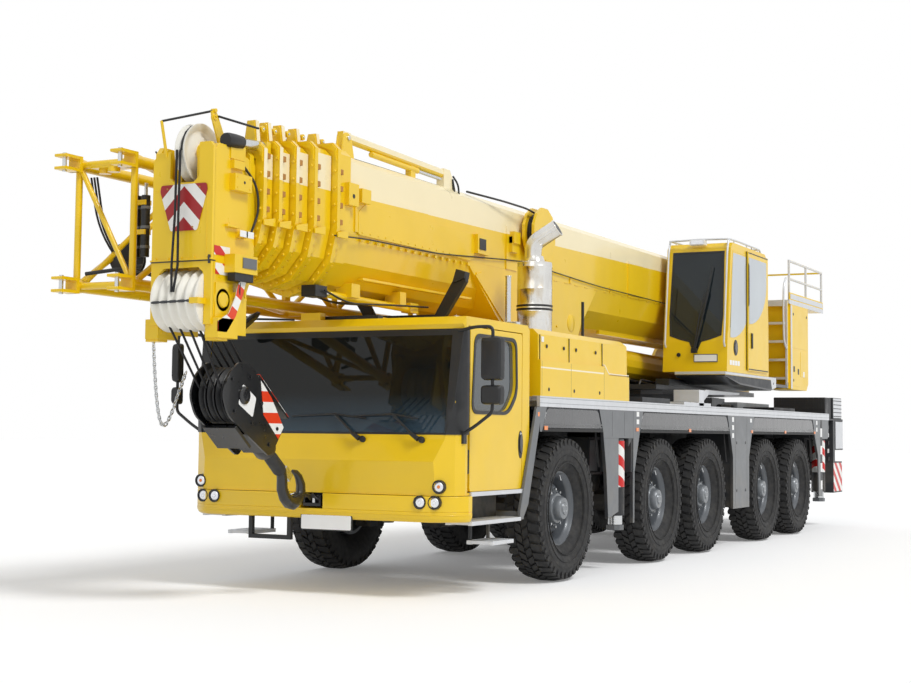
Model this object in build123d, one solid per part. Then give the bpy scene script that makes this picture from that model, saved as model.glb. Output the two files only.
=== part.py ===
from build123d import *
import os
from math import cos, hypot, pi, sin

# Five-axle all-terrain mobile crane, parked for the road with its boom laid forward.
# Millimetres, +Z up, front towards -Y, the vehicle's left side at +X, tyres on z = 0.
# Lengthwise places are stations: millimetres behind the first axle.
# Tubes, drums and wheels are many-sided, which keeps the model light; the pins and bores
# that something turns on are true cylinders.

os.makedirs("parts", exist_ok=True)

# ---------------------------------------------------------------- driving dimensions
FRONT_TIP, REAR_TIP = -4360.0, 11160.0
AXLE_1 = -(FRONT_TIP + REAR_TIP) / 2  # y of the first axle, which centres the crane's length
AXLES = (0.0, 2640.0, 4290.0, 6770.0, 8420.0)
HALF_WIDTH = 1375.0                   # carrier bodywork
TYRE_R = 685.0
TYRE_OUT, TYRE_IN = 1365.0, 985.0     # outer and inner walls of a tyre
KINGPIN_X = 900.0
HUB_BORE = 45.0

DECK_Z = 1730.0                       # top of the carrier deck
DECK_FRONT, DECK_REAR = -700.0, 10130.0
FRAME_HALF = 400.0                    # chassis girder
FRAME_Z0, FRAME_Z1 = 950.0, 1450.0
ARCH_Z = 1410.0                       # underside of the mudguards

CAB_FRONT, CAB_REAR = -2350.0, -860.0
CAB_SIDE = 1340.0
CAB_SILL_Z, CAB_ROOF_Z = 870.0, 2365.0
BUMPER_Z = 600.0
HOOD_FRONT, HOOD_REAR, HOOD_Z = -690.0, 1570.0, 2355.0

SLEW = 5530.0                         # station of the slewing axis
SLEW_Z = 1900.0
PIVOT = (8450.0, 3150.0)              # boom foot pin, station and height
PIVOT_R = 80.0
CHEEK_IN, CHEEK_OUT = 440.0, 485.0

BOOM_HALF = 425.0                     # base section, half width
BOOM_TOP, BOOM_KNEE, BOOM_LOW = 3720.0, 3060.0, 2565.0
BOOM_REAR = 8750.0
FOLDS = 6                             # press folds of the round underside
STEP_IN = 33.0                        # each telescopic section is this much smaller all round
WALL = 22.0
COLLAR_RIM = 60.0                     # how far a collar stands out from its section
COLLARS = (-2820.0, -3120.0, -3340.0, -3530.0, -3700.0)   # front ends of base and sections 1 to 4
HEAD_FRONT, HEAD_HALF = -4260.0, 280.0
LOW_PACK = (-4120.0, 2370.0)          # axle of the lower sheave pack
HIGH_SHEAVE = (-4090.0, 3500.0)

LUFF_BASE = (6900.0, 2250.0)          # cylinder foot pin
LUFF_EYE = (2250.0, 2330.0)           # rod eye under the boom

OUTRIGGERS = ((955.0, 1595.0), (9390.0, 10030.0))         # front and rear beam boxes
BEAM_Z0, BEAM_Z1 = 1010.0, 1330.0
JACK_X = 1275.0
STACK = (920.0, 270.0)                # exhaust silencer, x and station
WINCH = (9450.0, 2900.0)
CLEAR = 5.0                           # between pieces that move past each other


# ---------------------------------------------------------------- helpers
def y_of(station):
    return AXLE_1 + station


def block(x0, x1, s0, s1, z0, z1):
    """A box between two x, two stations and two heights."""
    place = Pos((x0 + x1) / 2, y_of((s0 + s1) / 2), (z0 + z1) / 2)
    return place * Box(abs(x1 - x0), abs(s1 - s0), abs(z1 - z0))


def side_prism(points, x0, x1):
    """A side-view outline of (station, z) points, pushed across from x0 to x1."""
    outline = Polyline(*[(y_of(s), z) for s, z in points], close=True)
    face = make_face(Plane.YZ * outline)
    return Pos(X=min(x0, x1)) * extrude(face, abs(x1 - x0), dir=(1, 0, 0))


def plan_prism(points, z0, z1):
    """A plan-view outline of (x, station) points, from z0 up to z1."""
    outline = Polyline(*[(x, y_of(s)) for x, s in points], close=True)
    return Pos(Z=z0) * extrude(make_face(outline), z1 - z0)


def front_prism(points, s0, s1):
    """A front-view outline of (x, z) points, from station s0 back to s1."""
    face = make_face(Plane.XZ * Polyline(*points, close=True))
    return Pos(Y=y_of(s0)) * extrude(face, s1 - s0, dir=(0, 1, 0))


def bar(start, end, radius, sides=6):
    """A many-sided bar between two (x, station, z) points."""
    a = Vector(start[0], y_of(start[1]), start[2])
    b = Vector(end[0], y_of(end[1]), end[2])
    return extrude(Plane(origin=a, z_dir=b - a) * RegularPolygon(radius, sides), (b - a).length)


def pin(start, end, radius):
    """A true cylinder between two (x, station, z) points."""
    a = Vector(start[0], y_of(start[1]), start[2])
    b = Vector(end[0], y_of(end[1]), end[2])
    return extrude(Plane(origin=a, z_dir=b - a) * Circle(radius), (b - a).length)


def turned(profile, sides):
    """A faceted body of revolution about X, from a closed list of (x, radius) corners."""
    half = pi / sides

    def ring(x, radius):
        reach = radius / cos(half)
        angles = [(2 * k + 1) * half for k in range(sides)]
        return [Vector(x, reach * sin(a), -reach * cos(a)) for a in angles]

    faces = []
    for (x0, r0), (x1, r1) in zip(profile, profile[1:] + profile[:1]):
        if r0 == r1 == 0:
            continue
        a, b = ring(x0, r0), ring(x1, r1)
        for k in range(sides):
            corners = [a[k - 1], a[k]] if r0 else [a[k]]
            corners += [b[k], b[k - 1]] if r1 else [b[k]]
            faces.append(Face(Wire.make_polygon(corners, close=True)))
    return Solid(Shell(faces)).clean()


def mirrored(shape):
    return mirror(shape, about=Plane.YZ)


def both(shape):
    """The shape and its mirror image on the other side."""
    return [shape, mirrored(shape)]


def fuse(*shapes):
    flat = []
    for shape in shapes:
        flat += shape if isinstance(shape, list) else [shape]
    body = flat[0]
    for other in flat[1:]:
        body = body + other
    return body


def save(name, shape):
    solids = shape.solids()
    body = solids[0] if len(solids) == 1 else Compound(children=list(solids))
    export_step(body, f"parts/{name}.step")


# ---------------------------------------------------------------- wheels and axles
def wheel():
    """Single tyre, dished disc and planetary hub; its foot is one of its flats."""
    side = [(TYRE_IN, 540), (1020, TYRE_R), (1330, TYRE_R), (TYRE_OUT, 540), (1262, 330), (1245, 165),
            (1332, 140), (1332, 0), (1060, 0), (1060, 160), (1200, 190)]
    bore = Pos(1105, 0, 0) * Rot(Y=90) * Cylinder(HUB_BORE, 100)
    return turned(side, 16) - bore


def knuckle():
    """Upright on the kingpin, brake drum, steering arm and the stub the wheel turns on."""
    upright = Pos(KINGPIN_X, 0, -199) * extrude(RegularPolygon(78, 6), 398)
    stub = Pos(KINGPIN_X, 0, 0) * Rot(Y=90) * extrude(RegularPolygon(HUB_BORE - 0.05, 6), 250)
    drum = Pos(950, 0, 0) * Rot(Y=90) * extrude(RegularPolygon(160, 8), 100)
    arm = Pos(KINGPIN_X + 35, 145, -120) * Box(60, 170, 50)
    return upright + stub + drum + arm


def axles():
    """Five axle beams with differentials, forked ends, kingpins and struts."""
    casing = [(-780, 0), (-780, 85), (-240, 85), (-110, 215), (110, 215), (240, 85), (780, 85), (780, 0)]
    nose, reach = 42.0, 60.0          # each upper ear is rounded about the kingpin
    beams = []
    for s in AXLES:
        beam = Pos(0, y_of(s), TYRE_R) * turned(casing, 8)
        for side in (-1, 1):
            web = block(side * 765, side * 815, s - 75, s + 75, 440, 930)
            web += plan_prism(((side * 810, s - 75), (side * 960, s - 35),
                               (side * 960, s + 35), (side * 810, s + 75)), 440, 480)
            tip = side * (KINGPIN_X + (reach ** 2 - nose ** 2) ** 0.5)
            edge = Polyline((tip, y_of(s - nose)), (side * 810, y_of(s - 75)), (side * 810, y_of(s + 75)),
                            (tip, y_of(s + nose)))
            arc = ThreePointArc((tip, y_of(s - nose)), (side * (KINGPIN_X + reach), y_of(s)), (tip, y_of(s + nose)))
            web += Pos(Z=890) * extrude(make_face([edge, arc]), 40)
            beam = beam + web + block(side * 520, side * 600, s - 40, s + 40, TYRE_R, 1348)
        beams.append(beam)
    return Compound(children=beams)


# ---------------------------------------------------------------- chassis
def chassis_frame():
    """Closed girder with strut shelves, outrigger boxes, slewing ring and rear towing jaw."""
    girder = side_prism(
        ((-1948, 680), (-1000, 680), (-500, FRAME_Z0), (10500, FRAME_Z0),
         (10500, FRAME_Z1), (-700, FRAME_Z1), (-855, 866), (-1948, 866)),
        -FRAME_HALF, FRAME_HALF)
    girder -= block(-FRAME_HALF + 40, FRAME_HALF - 40, 200, 4300, FRAME_Z0 + 40, FRAME_Z1 - 40)
    shelves = [block(side * (FRAME_HALF - 5), side * 640, s - 90, s + 90, 1350, FRAME_Z1)
               for s in AXLES for side in (-1, 1)]
    ring = bar((0, SLEW, FRAME_Z1 - 5), (0, SLEW, SLEW_Z), 700, 16)
    ring -= bar((0, SLEW, SLEW_Z - 170), (0, SLEW, SLEW_Z + 10), 66, 8)
    frame = fuse(girder, shelves, ring)
    boxes = []
    for s0, s1 in OUTRIGGERS:
        mid = (s0 + s1) / 2
        frame -= block(-1180, 1180, s0, s1, BEAM_Z0 - 30, BEAM_Z1 + 30)
        casing = block(-1180, 1180, s0, s1, BEAM_Z0 - 30, BEAM_Z1 + 30)
        for a, b in ((s0 + 25, mid - 12), (mid + 12, s1 - 25)):
            casing -= block(-1200, 1200, a, b, BEAM_Z0 - CLEAR, BEAM_Z1 + CLEAR)
        boxes.append(casing)
    jaw = block(-90, 90, 10495, 10990, 1000, 1140)
    jaw -= block(-70, 70, 10850, 11000, 1040, 1100)
    jaw -= pin((0, 10930, 990), (0, 10930, 1150), 25)
    return fuse(frame, boxes, jaw)


def boom_rest():
    """Forked stand between cab and hood that carries the boom on the road."""
    post = block(-160, 160, -800, -740, FRAME_Z1 + 2, 2330)
    outline = ((-160, 2200), (160, 2200), (450, 2500), (650, 2800), (650, 2860), (545, 2860),
               (330, 2500), (-330, 2500), (-545, 2860), (-650, 2860), (-650, 2800), (-450, 2500))
    fork = front_prism(outline, -800, -740)
    pad = front_prism(((520, 2790), (645, 2830), (655, 2890), (560, 2920)), -820, -720)
    return fuse(post, fork, both(pad)) - boom_section(-8, -900, -600)


def deck():
    """Tread plate with raised side rails, open under the hood and round the slewing ring."""
    plate = block(-1345, 1345, DECK_FRONT, DECK_REAR, DECK_Z - 40, DECK_Z)
    plate -= block(-1150, 1150, HOOD_FRONT + 60, HOOD_REAR - 60, DECK_Z - 60, DECK_Z + 20)
    plate -= bar((0, SLEW, DECK_Z - 60), (0, SLEW, DECK_Z + 60), 730, 16)
    rails = both(block(1345, HALF_WIDTH, DECK_FRONT, DECK_REAR, DECK_Z - 90, DECK_Z))
    stays = []
    for s in (-600, 1750, 4700, 6400, 9200):
        for side in (-1, 1):
            stays.append(block(side * 240, side * FRAME_HALF, s - 40, s + 40, FRAME_Z1, DECK_Z - 40))
            stays.append(block(side * FRAME_HALF, side * 1330, s - 40, s + 40, DECK_Z - 90, DECK_Z - 40))
    lockers = [block(-700, -480, 2100, 4300, DECK_Z - 2, 1900), block(480, 700, 7600, 9200, DECK_Z - 2, 1860)]
    return fuse(plate, rails, stays, lockers)


def bodywork():
    """Mudguards, slanted panels between the wheels and tool boxes, open where the beams pass."""
    top = DECK_Z - 92
    skin = (HALF_WIDTH - 37, HALF_WIDTH - 7)
    guards = ((-640, 860), (1900, 5090), (6030, 9260))          # front and rear stations
    pieces = []
    for s0, s1 in guards:
        shelf = block(960, HALF_WIDTH - 20, s0, s1, ARCH_Z, ARCH_Z + 25)
        apron = side_prism(((s0, ARCH_Z), (s1, ARCH_Z), (s1 - 110, top), (s0 + 110, top)),
                           HALF_WIDTH - 45, HALF_WIDTH - 15)
        apron += block(HALF_WIDTH - 20, HALF_WIDTH - 4, s0 + 12, s1 - 12, ARCH_Z, ARCH_Z + 30)
        pieces.append(fuse(shelf, apron))
    panels = (
        ((-690, top), (-535, top), (-645, ARCH_Z), (-690, ARCH_Z)),
        ((755, top), (1700, top), (1700, 1360), (1350, 1100), (1350, 620), (1000, 540), (950, 1000), (862, ARCH_Z)),
        ((1690, top), (2005, top), (1895, ARCH_Z), (1740, 1000), (1735, 470), (1690, 470)),
        ((4985, top), (6135, top), (6025, ARCH_Z), (5900, 1120), (5900, 480), (5210, 480), (5210, 1120),
         (5095, ARCH_Z)),
        ((9155, top), (10100, top), (10100, 1400), (9640, 1060), (9480, 1060), (9265, ARCH_Z)))
    pieces += [side_prism(outline, *skin) for outline in panels]
    pieces.append(block(760, skin[1] - 5, 5230, 5890, 495, top))
    pieces += [block(640, skin[1] - 5, s, s + 40, z, top) for s, z in ((1660, 1000), (10060, 1400))]
    half = fuse(pieces)
    passages = [block(side * 1000, side * 1400, s0 - 10, s1 + 10, 400, BEAM_Z1 + 20)
                for front in (True, False) for side in (-1, 1) for s0, s1 in (beam_span(front, side),)]
    return (fuse(half, mirrored(half)) - passages).solids()


def rear_bodywork():
    """Tail box between lamp wings, stacked support mats and the steel boxes behind them."""
    tail = block(-1345, 1345, 10505, 10620, 700, 1640)
    tail -= block(-200, 200, 10500, 10640, 900, 1250)
    wings = both(block(1000, 1345, 10500, 11080, 520, 1000))
    tray = both(block(480, 1345, 10150, 11150, 1640, 1662))
    mats = both(block(500, 1300, 10180, 10560, 1660, 1985))
    boxes = []
    for side in (-1, 1):
        stack = block(side * 620, side * 1345, 10640, 11140, 1180, 1640)
        stack += block(side * 600, side * 1320, 10600, REAR_TIP, 1660, 1995)
        for z in (1725, 1790, 1855, 1920):
            stack -= block(side * 590, side * 1330, REAR_TIP - 12, REAR_TIP + 5, z, z + 14)
        boxes.append(stack)
    return fuse(tail, wings, tray, mats, boxes).solids()


# ---------------------------------------------------------------- driver's cab
CAB_OUTLINE = ((CAB_FRONT + 20, CAB_SILL_Z), (-2345, 1150), (-2290, 1335), (-2150, 2270), (-2165, 2300),
               (-2130, CAB_ROOF_Z), (-900, CAB_ROOF_Z), (CAB_REAR, 2320), (CAB_REAR, CAB_SILL_Z))
CAB_INNER = ((-2190, CAB_SILL_Z + 60), (-2190, 1330), (-2065, 2300), (-920, 2300), (-920, CAB_SILL_Z + 60))
CAB_PLAN = ((-1130, CAB_FRONT - 10), (1130, CAB_FRONT - 10), (1300, -2240), (CAB_SIDE, -2130), (CAB_SIDE, -800),
            (-CAB_SIDE, -800), (-CAB_SIDE, -2130), (-1300, -2240))
DOOR_S = (-2050.0, -1020.0)
DOOR_Z = (CAB_SILL_Z + 30, 2280.0)
DOOR_WINDOW = ((-1985, 1475), (-1935, 2190), (-1135, 2190), (-1135, 1660), (-1250, 1475))
DOOR_HINGE = (1325.0, -2062.0)        # x and station of the left door's hinge line
MIRROR = (1605.0, -2170.0)            # x and station of the left mirrors' stem, ahead of the door's swing


def windscreen_cut():
    """The windscreen's opening, pushed through the front wall."""
    return front_prism(((-1235, 1372), (1235, 1372), (1225, 2262), (-1225, 2262)), -2400, -1950)


def cab_outer():
    return side_prism(CAB_OUTLINE, -CAB_SIDE, CAB_SIDE) & plan_prism(CAB_PLAN, CAB_SILL_Z - 10, CAB_ROOF_Z + 10)


def cab_shell():
    shell = cab_outer() - side_prism(CAB_INNER, -CAB_SIDE + 60, CAB_SIDE - 60)
    shell -= windscreen_cut()
    gap = 8
    shell -= block(-CAB_SIDE - 5, CAB_SIDE + 5, DOOR_S[0] - gap, DOOR_S[1] + gap, DOOR_Z[0] - gap, DOOR_Z[1] + gap)
    shell -= block(-700, 700, -950, -800, 1500, 2200)
    for side in (-1, 1):
        x, s = side * DOOR_HINGE[0], DOOR_HINGE[1]
        shell -= bar((x, s, DOOR_Z[0] - gap), (x, s, DOOR_Z[1] + gap), 34, 8)
    hatch = block(-350, 350, -1900, -1350, CAB_ROOF_Z - 5, CAB_ROOF_Z + 35)
    beacon = block(-300, -100, -2130, -2050, CAB_ROOF_Z - 5, CAB_ROOF_Z + 65)
    return fuse(shell, hatch, beacon)


def cab_glass():
    inner = Pos(Y=14) * (cab_outer() & block(-1320, 1320, -2400, -800, 800, 2400))
    screen = (cab_outer() - inner) & windscreen_cut()
    back = block(-700, 700, -872, -864, 1500, 2200)
    return Compound(children=[*screen.solids(), back])


def cab_interior():
    """Dashboard with column and steering wheel, and two seats with headrests."""
    dash = side_prism(((-2185, 1000), (-2185, 1290), (-1980, 1350), (-1880, 1250), (-1950, 1000)), -1200, 1200)
    seats = []
    for x in (-650, 650):
        seat = side_prism(((-1560, 930), (-1560, 1290), (-1480, 1390), (-1130, 1350), (-1070, 1830), (-1050, 1860),
                           (-1030, 2040), (-950, 2040), (-960, 1830), (-1000, 1250), (-1050, 930)), x - 240, x + 240)
        for edge in (-240, 240):
            seat -= block(x + edge, x + edge * 0.55, -1100, -900, 1850, 2060)
        seats.append(seat)
    rim = turned([(-14, 195), (0, 182), (14, 195), (14, 215), (-14, 215)], 14)
    tilt = Pos(650, y_of(-1790), 1420) * Rot(X=-28) * Rot(Y=90)
    spokes = Pos(650, y_of(-1790), 1420) * Rot(X=-28) * (Box(400, 50, 20) + Box(50, 200, 20))
    column = bar((650, -1960, 1250), (650, -1790, 1420), 35)
    return Compound(children=[fuse(dash, column, spokes, tilt * rim), *seats])


def cab_door(side):
    """Whole door with its pane, flush handle plate and hinge barrel."""
    skin = side_prism(((DOOR_S[0], DOOR_Z[0]), (DOOR_S[0], DOOR_Z[1]), (DOOR_S[1], DOOR_Z[1]),
                       (DOOR_S[1], DOOR_Z[0])), CAB_SIDE - 58, CAB_SIDE)
    skin -= side_prism(DOOR_WINDOW, CAB_SIDE - 80, CAB_SIDE + 20)
    pane = side_prism(DOOR_WINDOW, CAB_SIDE - 35, CAB_SIDE - 29)
    x, s = DOOR_HINGE
    barrel = pin((x, s, 1050), (x, s, 1250), 14)
    leaf = block(x - 12, x, s, DOOR_S[0] + 5, 1060, 1240)
    handle = side_prism(((-1200, 1300), (-1140, 1090), (-1105, 1090), (-1075, 1300)), CAB_SIDE - 5, CAB_SIDE + 12)
    body = fuse(skin, pane, barrel, leaf, handle)
    return body if side > 0 else mirrored(body)


def front_bumper():
    """Bevelled bumper, coupling box and the boarding steps behind it."""
    plan = ((-1130, CAB_FRONT), (1130, CAB_FRONT), (1300, -2240), (HALF_WIDTH, -2130), (HALF_WIDTH, -2060),
            (1000, -2060), (1000, -1950), (-1000, -1950), (-1000, -2060),
            (-HALF_WIDTH, -2060), (-HALF_WIDTH, -2130), (-1300, -2240))
    bumper = plan_prism(plan, BUMPER_Z + 45, CAB_SILL_Z - 2)
    chin = tuple((x * 0.985, s + 25 if s < -2200 else s) for x, s in plan)
    bumper += plan_prism(chin, BUMPER_Z, BUMPER_Z + 46)
    bumper -= block(-150, 90, -2400, -2200, 730, 868)
    jaw = block(-120, 60, -2330, -2195, 750, 850) - block(-90, 30, -2340, -2230, 780, 820)
    jaw += bar((-30, -2290, 770), (-30, -2290, 830), 20)
    steps = []
    for side in (-1, 1):
        for s0, s1, z in ((-2060, -1090, 655), (-1660, -1240, 470)):
            tread = block(side * 1120, side * HALF_WIDTH, s0, s1, z - 35, z)
            tread -= block(side * 1160, side * 1335, s0 + 60, s1 - 60, z - 40, z + 5)
            steps.append(tread)
        for s in (-1640, -1290):
            steps.append(block(side * 1125, side * 1150, s, s + 30, 440, 655))
        steps.append(block(side * 1000, side * 1125, -2060, -1090, 630, CAB_SILL_Z - 2))
        trim = side_prism(((-690, DECK_Z - 95), (-760, DECK_Z - 95), (-1110, 700), (-1110, 655), (-1030, 655),
                           (-940, 760), (-690, 1500)), side * 1346, side * HALF_WIDTH)
        steps.append(trim + block(side * 1120, side * HALF_WIDTH, -1092, -1032, 630, 700))
    frame = [block(x, x + 40, -2300, -2260, 490, BUMPER_Z + 5) for x in (-700, -300)]
    frame.append(block(-700, -260, -2300, -2260, 455, 492))
    return fuse(bumper, jaw, steps, frame)


def lamps():
    """Round front lamps, three a side, and rear lamp blocks."""
    group = []
    for x, z in ((985, 815), (1120, 815), (1165, 945)):
        group += both(bar((x, -2356, z), (x, -2300, z), 58, 8))
    front = [lamp - cab_outer() - front_bumper() for lamp in group]
    return front + both(block(1080, 1330, 11082, 11110, 820, 960))


def mirrors():
    """Two-glass mirrors on bent arms at the front pillars."""
    group = []
    for side in (-1, 1):
        x, s = side * MIRROR[0], MIRROR[1]
        arm = bar((side * 1280, s + 10, 2240), (x, s, 2290), 16, 4)
        arm += bar((x, s, 2310), (x, s, 1560), 16, 4)
        arm += bar((x, s, 1575), (side * 1280, s + 10, 1345), 16, 4)
        for z0, z1 in ((1840, 2205), (1640, 1785)):
            arm += plan_prism(((x - 95, s - 45), (x + 95, s - 45), (x + 80, s + 35), (x - 80, s + 35)), z0, z1)
        group.append(arm - cab_outer())
    return group


# ---------------------------------------------------------------- engine housing
def engine_hood():
    """Hollow hood: creased side panels, chamfered roof and a louvred air outlet on top."""
    roof_x = HALF_WIDTH - 22
    outline = ((-roof_x, DECK_Z), (roof_x, DECK_Z), (roof_x - 8, HOOD_Z - 50), (roof_x - 60, HOOD_Z),
               (60 - roof_x, HOOD_Z), (8 - roof_x, HOOD_Z - 50))
    hood = front_prism(outline, HOOD_FRONT, HOOD_REAR)
    crease = ((HOOD_FRONT, DECK_Z), (HOOD_REAR, DECK_Z), (HOOD_REAR, 1985), (1010, 1985), (880, 2070),
              (HOOD_FRONT, 2070))
    hood = fuse(hood, both(side_prism(crease, roof_x - 30, HALF_WIDTH)))
    hood -= side_prism(((HOOD_REAR - 40, HOOD_Z + 10), (HOOD_REAR + 10, HOOD_Z + 10), (HOOD_REAR + 10, HOOD_Z - 80)),
                       -HALF_WIDTH, HALF_WIDTH)
    hood -= block(40 - roof_x, roof_x - 40, HOOD_FRONT + 40, HOOD_REAR - 40, DECK_Z - 10, HOOD_Z - 80)
    for s in range(700, 1400, 100):
        hood -= side_prism(((s, HOOD_Z + 5), (s + 60, HOOD_Z + 5), (s + 30, HOOD_Z - 90), (s, HOOD_Z - 90)), -1150, -550)
    return hood


def engine_block():
    return block(-380, 380, -450, 1300, FRAME_Z1, 2240)


def exhaust_stack():
    """Silencer with a bent outlet, and the two slim posts that stand on the hood."""
    x, s = STACK
    profile = [(HOOD_Z, 0), (HOOD_Z, 112), (3080, 112), (3130, 85), (3130, 0)]
    upright = Pos(x, y_of(s), 0) * Rot(Y=-90) * turned(profile, 14)
    bend = ((x, s, 3120), (x, s + 20, 3260), (x, s + 230, 3430))
    for start, end in zip(bend, bend[1:]):
        upright += bar(start, end, 85, 10)
    post = bar((950, -500, HOOD_Z), (950, -500, 2870), 28, 8)
    pole = bar((1000, 1205, HOOD_Z), (1000, 1205, 2760), 16, 6)
    return Compound(children=[*upright.solids(), *post.solids(), *pole.solids()])


# ---------------------------------------------------------------- outriggers
def beam_span(front, side):
    """Stations between which the beam on one side runs: the right one lies ahead."""
    s0, s1 = OUTRIGGERS[0] if front else OUTRIGGERS[1]
    mid = (s0 + s1) / 2
    return (s0 + 30, mid - 17) if side < 0 else (mid + 17, s1 - 30)


def outrigger_beam(front, side):
    s0, s1 = beam_span(front, side)
    mid = (s0 + s1) / 2
    beam = block(side * -1150, side * 1190, s0, s1, BEAM_Z0, BEAM_Z1)
    sleeve = bar((side * JACK_X, mid, 560), (side * JACK_X, mid, 1340), 95, 10)
    plate = block(side * 1185, side * 1200, s0, s1, BEAM_Z0, BEAM_Z1)
    bore = bar((side * JACK_X, mid, 550), (side * JACK_X, mid, 1300), 73, 10)
    return fuse(beam, plate, sleeve) - bore


def outrigger_jack(front, side):
    s0, s1 = beam_span(front, side)
    mid = (s0 + s1) / 2
    leg = bar((side * JACK_X, mid, 450), (side * JACK_X, mid, 1290), 70, 10)
    return leg + bar((side * JACK_X, mid, 410), (side * JACK_X, mid, 462), 94, 10)


# ---------------------------------------------------------------- superstructure
def turntable():
    """Ring, base plate, boom cheeks, boom foot pin and the cylinder's foot."""
    ring = bar((0, SLEW, SLEW_Z + 2), (0, SLEW, SLEW_Z + 62), 720, 16)
    boss = pin((0, SLEW, SLEW_Z - 150), (0, SLEW, SLEW_Z + 10), 60)
    plate = plan_prism(((-560, 4650), (560, 4650), (560, 8900), (-560, 8900)), SLEW_Z + 60, SLEW_Z + 120)
    cheek = side_prism(((6500, 1960), (8900, 1960), (8900, 2500), (8750, 3200), (8600, 3330), (8300, 3330),
                        (8150, 3200), (7300, 2480), (6500, 2420)), CHEEK_IN, CHEEK_OUT)
    cheek -= side_prism(((7700, 2180), (8500, 2180), (8500, 2600), (8250, 2760), (7700, 2420)),
                        CHEEK_IN - 5, CHEEK_OUT + 5)
    foot_pivot = pin((-CHEEK_OUT, *PIVOT), (CHEEK_OUT, *PIVOT), PIVOT_R)
    lug = side_prism(((6650, 2010), (7150, 2010), (7000, 2340), (6800, 2340)), 215, 260)
    lug_pin = pin((-255, *LUFF_BASE), (255, *LUFF_BASE), 60)
    tail = block(-CHEEK_IN - 5, CHEEK_IN + 5, 8700, 8900, 2015, 2300)
    bearer = block(440, 620, 4960, 6960, 2015, 2100)
    eye = side_prism(((6840, 2095), (6960, 2095), (6930, 2215), (6870, 2215)), 540, 580)
    hinge = pin((575, 6900, CAB_TILT_Z), (640, 6900, CAB_TILT_Z), 15)
    return fuse(ring, boss, plate, both(cheek), foot_pivot, both(lug), lug_pin, tail, bearer, eye, hinge)


def turntable_deck():
    """Platform under the crane cab, ladder, rear cabinet, walkway and hand rails."""
    floor = side_prism(((4950, 2130), (4950, 2178), (7250, 2178), (7250, 2050), (7000, 2000), (5600, 2040)), 700, 1350)
    floor += block(620, 710, 5600, 6500, 2050, 2110)
    cabinet = side_prism(((7950, 2050), (7950, 3255), (8900, 3255), (8900, 2150), (8800, 2050)), 980, HALF_WIDTH)
    tie = block(CHEEK_OUT, 985, 7960, 8700, 2060, 2180)
    walk = block(CHEEK_OUT, HALF_WIDTH, 7900, 9800, 3260, 3310)
    kick = block(HALF_WIDTH - 12, HALF_WIDTH, 7900, 9800, 3305, 3420)
    ladder = [block(x, x + 25, 7850, 7952, 2060, 3300) for x in (985, 1325)]
    ladder += [block(1000, 1340, 7860, 7952, z, z + 35) for z in range(2180, 3260, 260)]
    foot = block(985, 1350, 7240, 7960, 2060, 2100)
    rails = []
    for s in (7930, 8850, 9770):
        rails.append(block(1345, 1370, s - 12, s + 12, 3300, 3880))
    for z in (3600, 3855):
        rails.append(block(1345, 1370, 7930, 9770, z, z + 25))
    rails.append(block(CHEEK_OUT + 20, 1350, 9758, 9782, 3855, 3880))
    rails.append(block(CHEEK_OUT + 20, CHEEK_OUT + 45, 9758, 9782, 3300, 3880))
    return fuse(floor, cabinet, tie, walk, kick, ladder, foot, rails)


def winch():
    """Hoist drum between its flanges, on arms behind the boom foot."""
    s, z = WINCH
    profile = [(-400, 0), (-400, 300), (-375, 300), (-375, 245), (375, 245), (375, 300), (400, 300), (400, 0)]
    drum = Pos(0, y_of(s), z) * turned(profile, 14)
    motor = bar((395, s, z), (438, s, z), 150, 8)
    arms = both(side_prism(((8750, 2500), (8890, 2480), (9600, 2750), (9600, 3050), (8750, 3150)), 486, 515))
    link = both(block(395, 500, s - 60, s + 60, z - 60, z + 60))
    return fuse(drum, motor, arms, link)


# side outline, windscreen outline and the two side windows of the crane cab
CC_OUTLINE = ((5030, 2185), (5060, 2560), (5215, 3760), (5290, 3830), (6740, 3830), (6810, 3780),
              (6900, 2900), (6900, 2185))
CC_INNER = ((5110, 2235), (5140, 2560), (5290, 3770), (6740, 3770), (6840, 2900), (6840, 2235))
CC_IN, CC_OUT = 510.0, 1350.0
CAB_TILT_Z = 2185.0                   # height of the crane cab's tilt axis
CC_SCREEN = ((590, 3720), (1270, 3720), (1285, 2900), (1270, 2640), (1130, 2590), (1010, 2560), (960, 2440),
             (900, 2440), (850, 2560), (730, 2590), (590, 2640), (575, 2900))
CC_WINDOW = ((5170, 2740), (5300, 3690), (5840, 3690), (5840, 2990), (5640, 2850), (5420, 2765))
CC_DOOR_WINDOW = ((5940, 3690), (6690, 3690), (6690, 3520), (6580, 3330), (6400, 3190), (6180, 3080), (5940, 3020))


def crane_cab_outer():
    return side_prism(CC_OUTLINE, CC_IN, CC_OUT)


def crane_cab_shell():
    shell = crane_cab_outer() - side_prism(CC_INNER, CC_IN + 45, CC_OUT - 45)
    shell -= front_prism(CC_SCREEN, 5000, 5330)
    shell -= block(CC_OUT - 60, CC_OUT + 10, 5900, 6780, 2245, 3760)
    shell -= side_prism(CC_WINDOW, CC_OUT - 60, CC_OUT + 10)
    shell -= side_prism(((5400, 2900), (5400, 3650), (6500, 3650), (6500, 2900)), CC_IN - 10, CC_IN + 60)
    foot = side_prism(((6800, 2150), (6905, 2150), (6905, 2260), (6800, 2260)), 645, 690)
    shell -= block(CC_IN - 5, 642, 6780, 6920, 2100, 2245)
    return fuse(shell, foot) - bar((600, 6900, CAB_TILT_Z), (700, 6900, CAB_TILT_Z), 17, 8)


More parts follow.
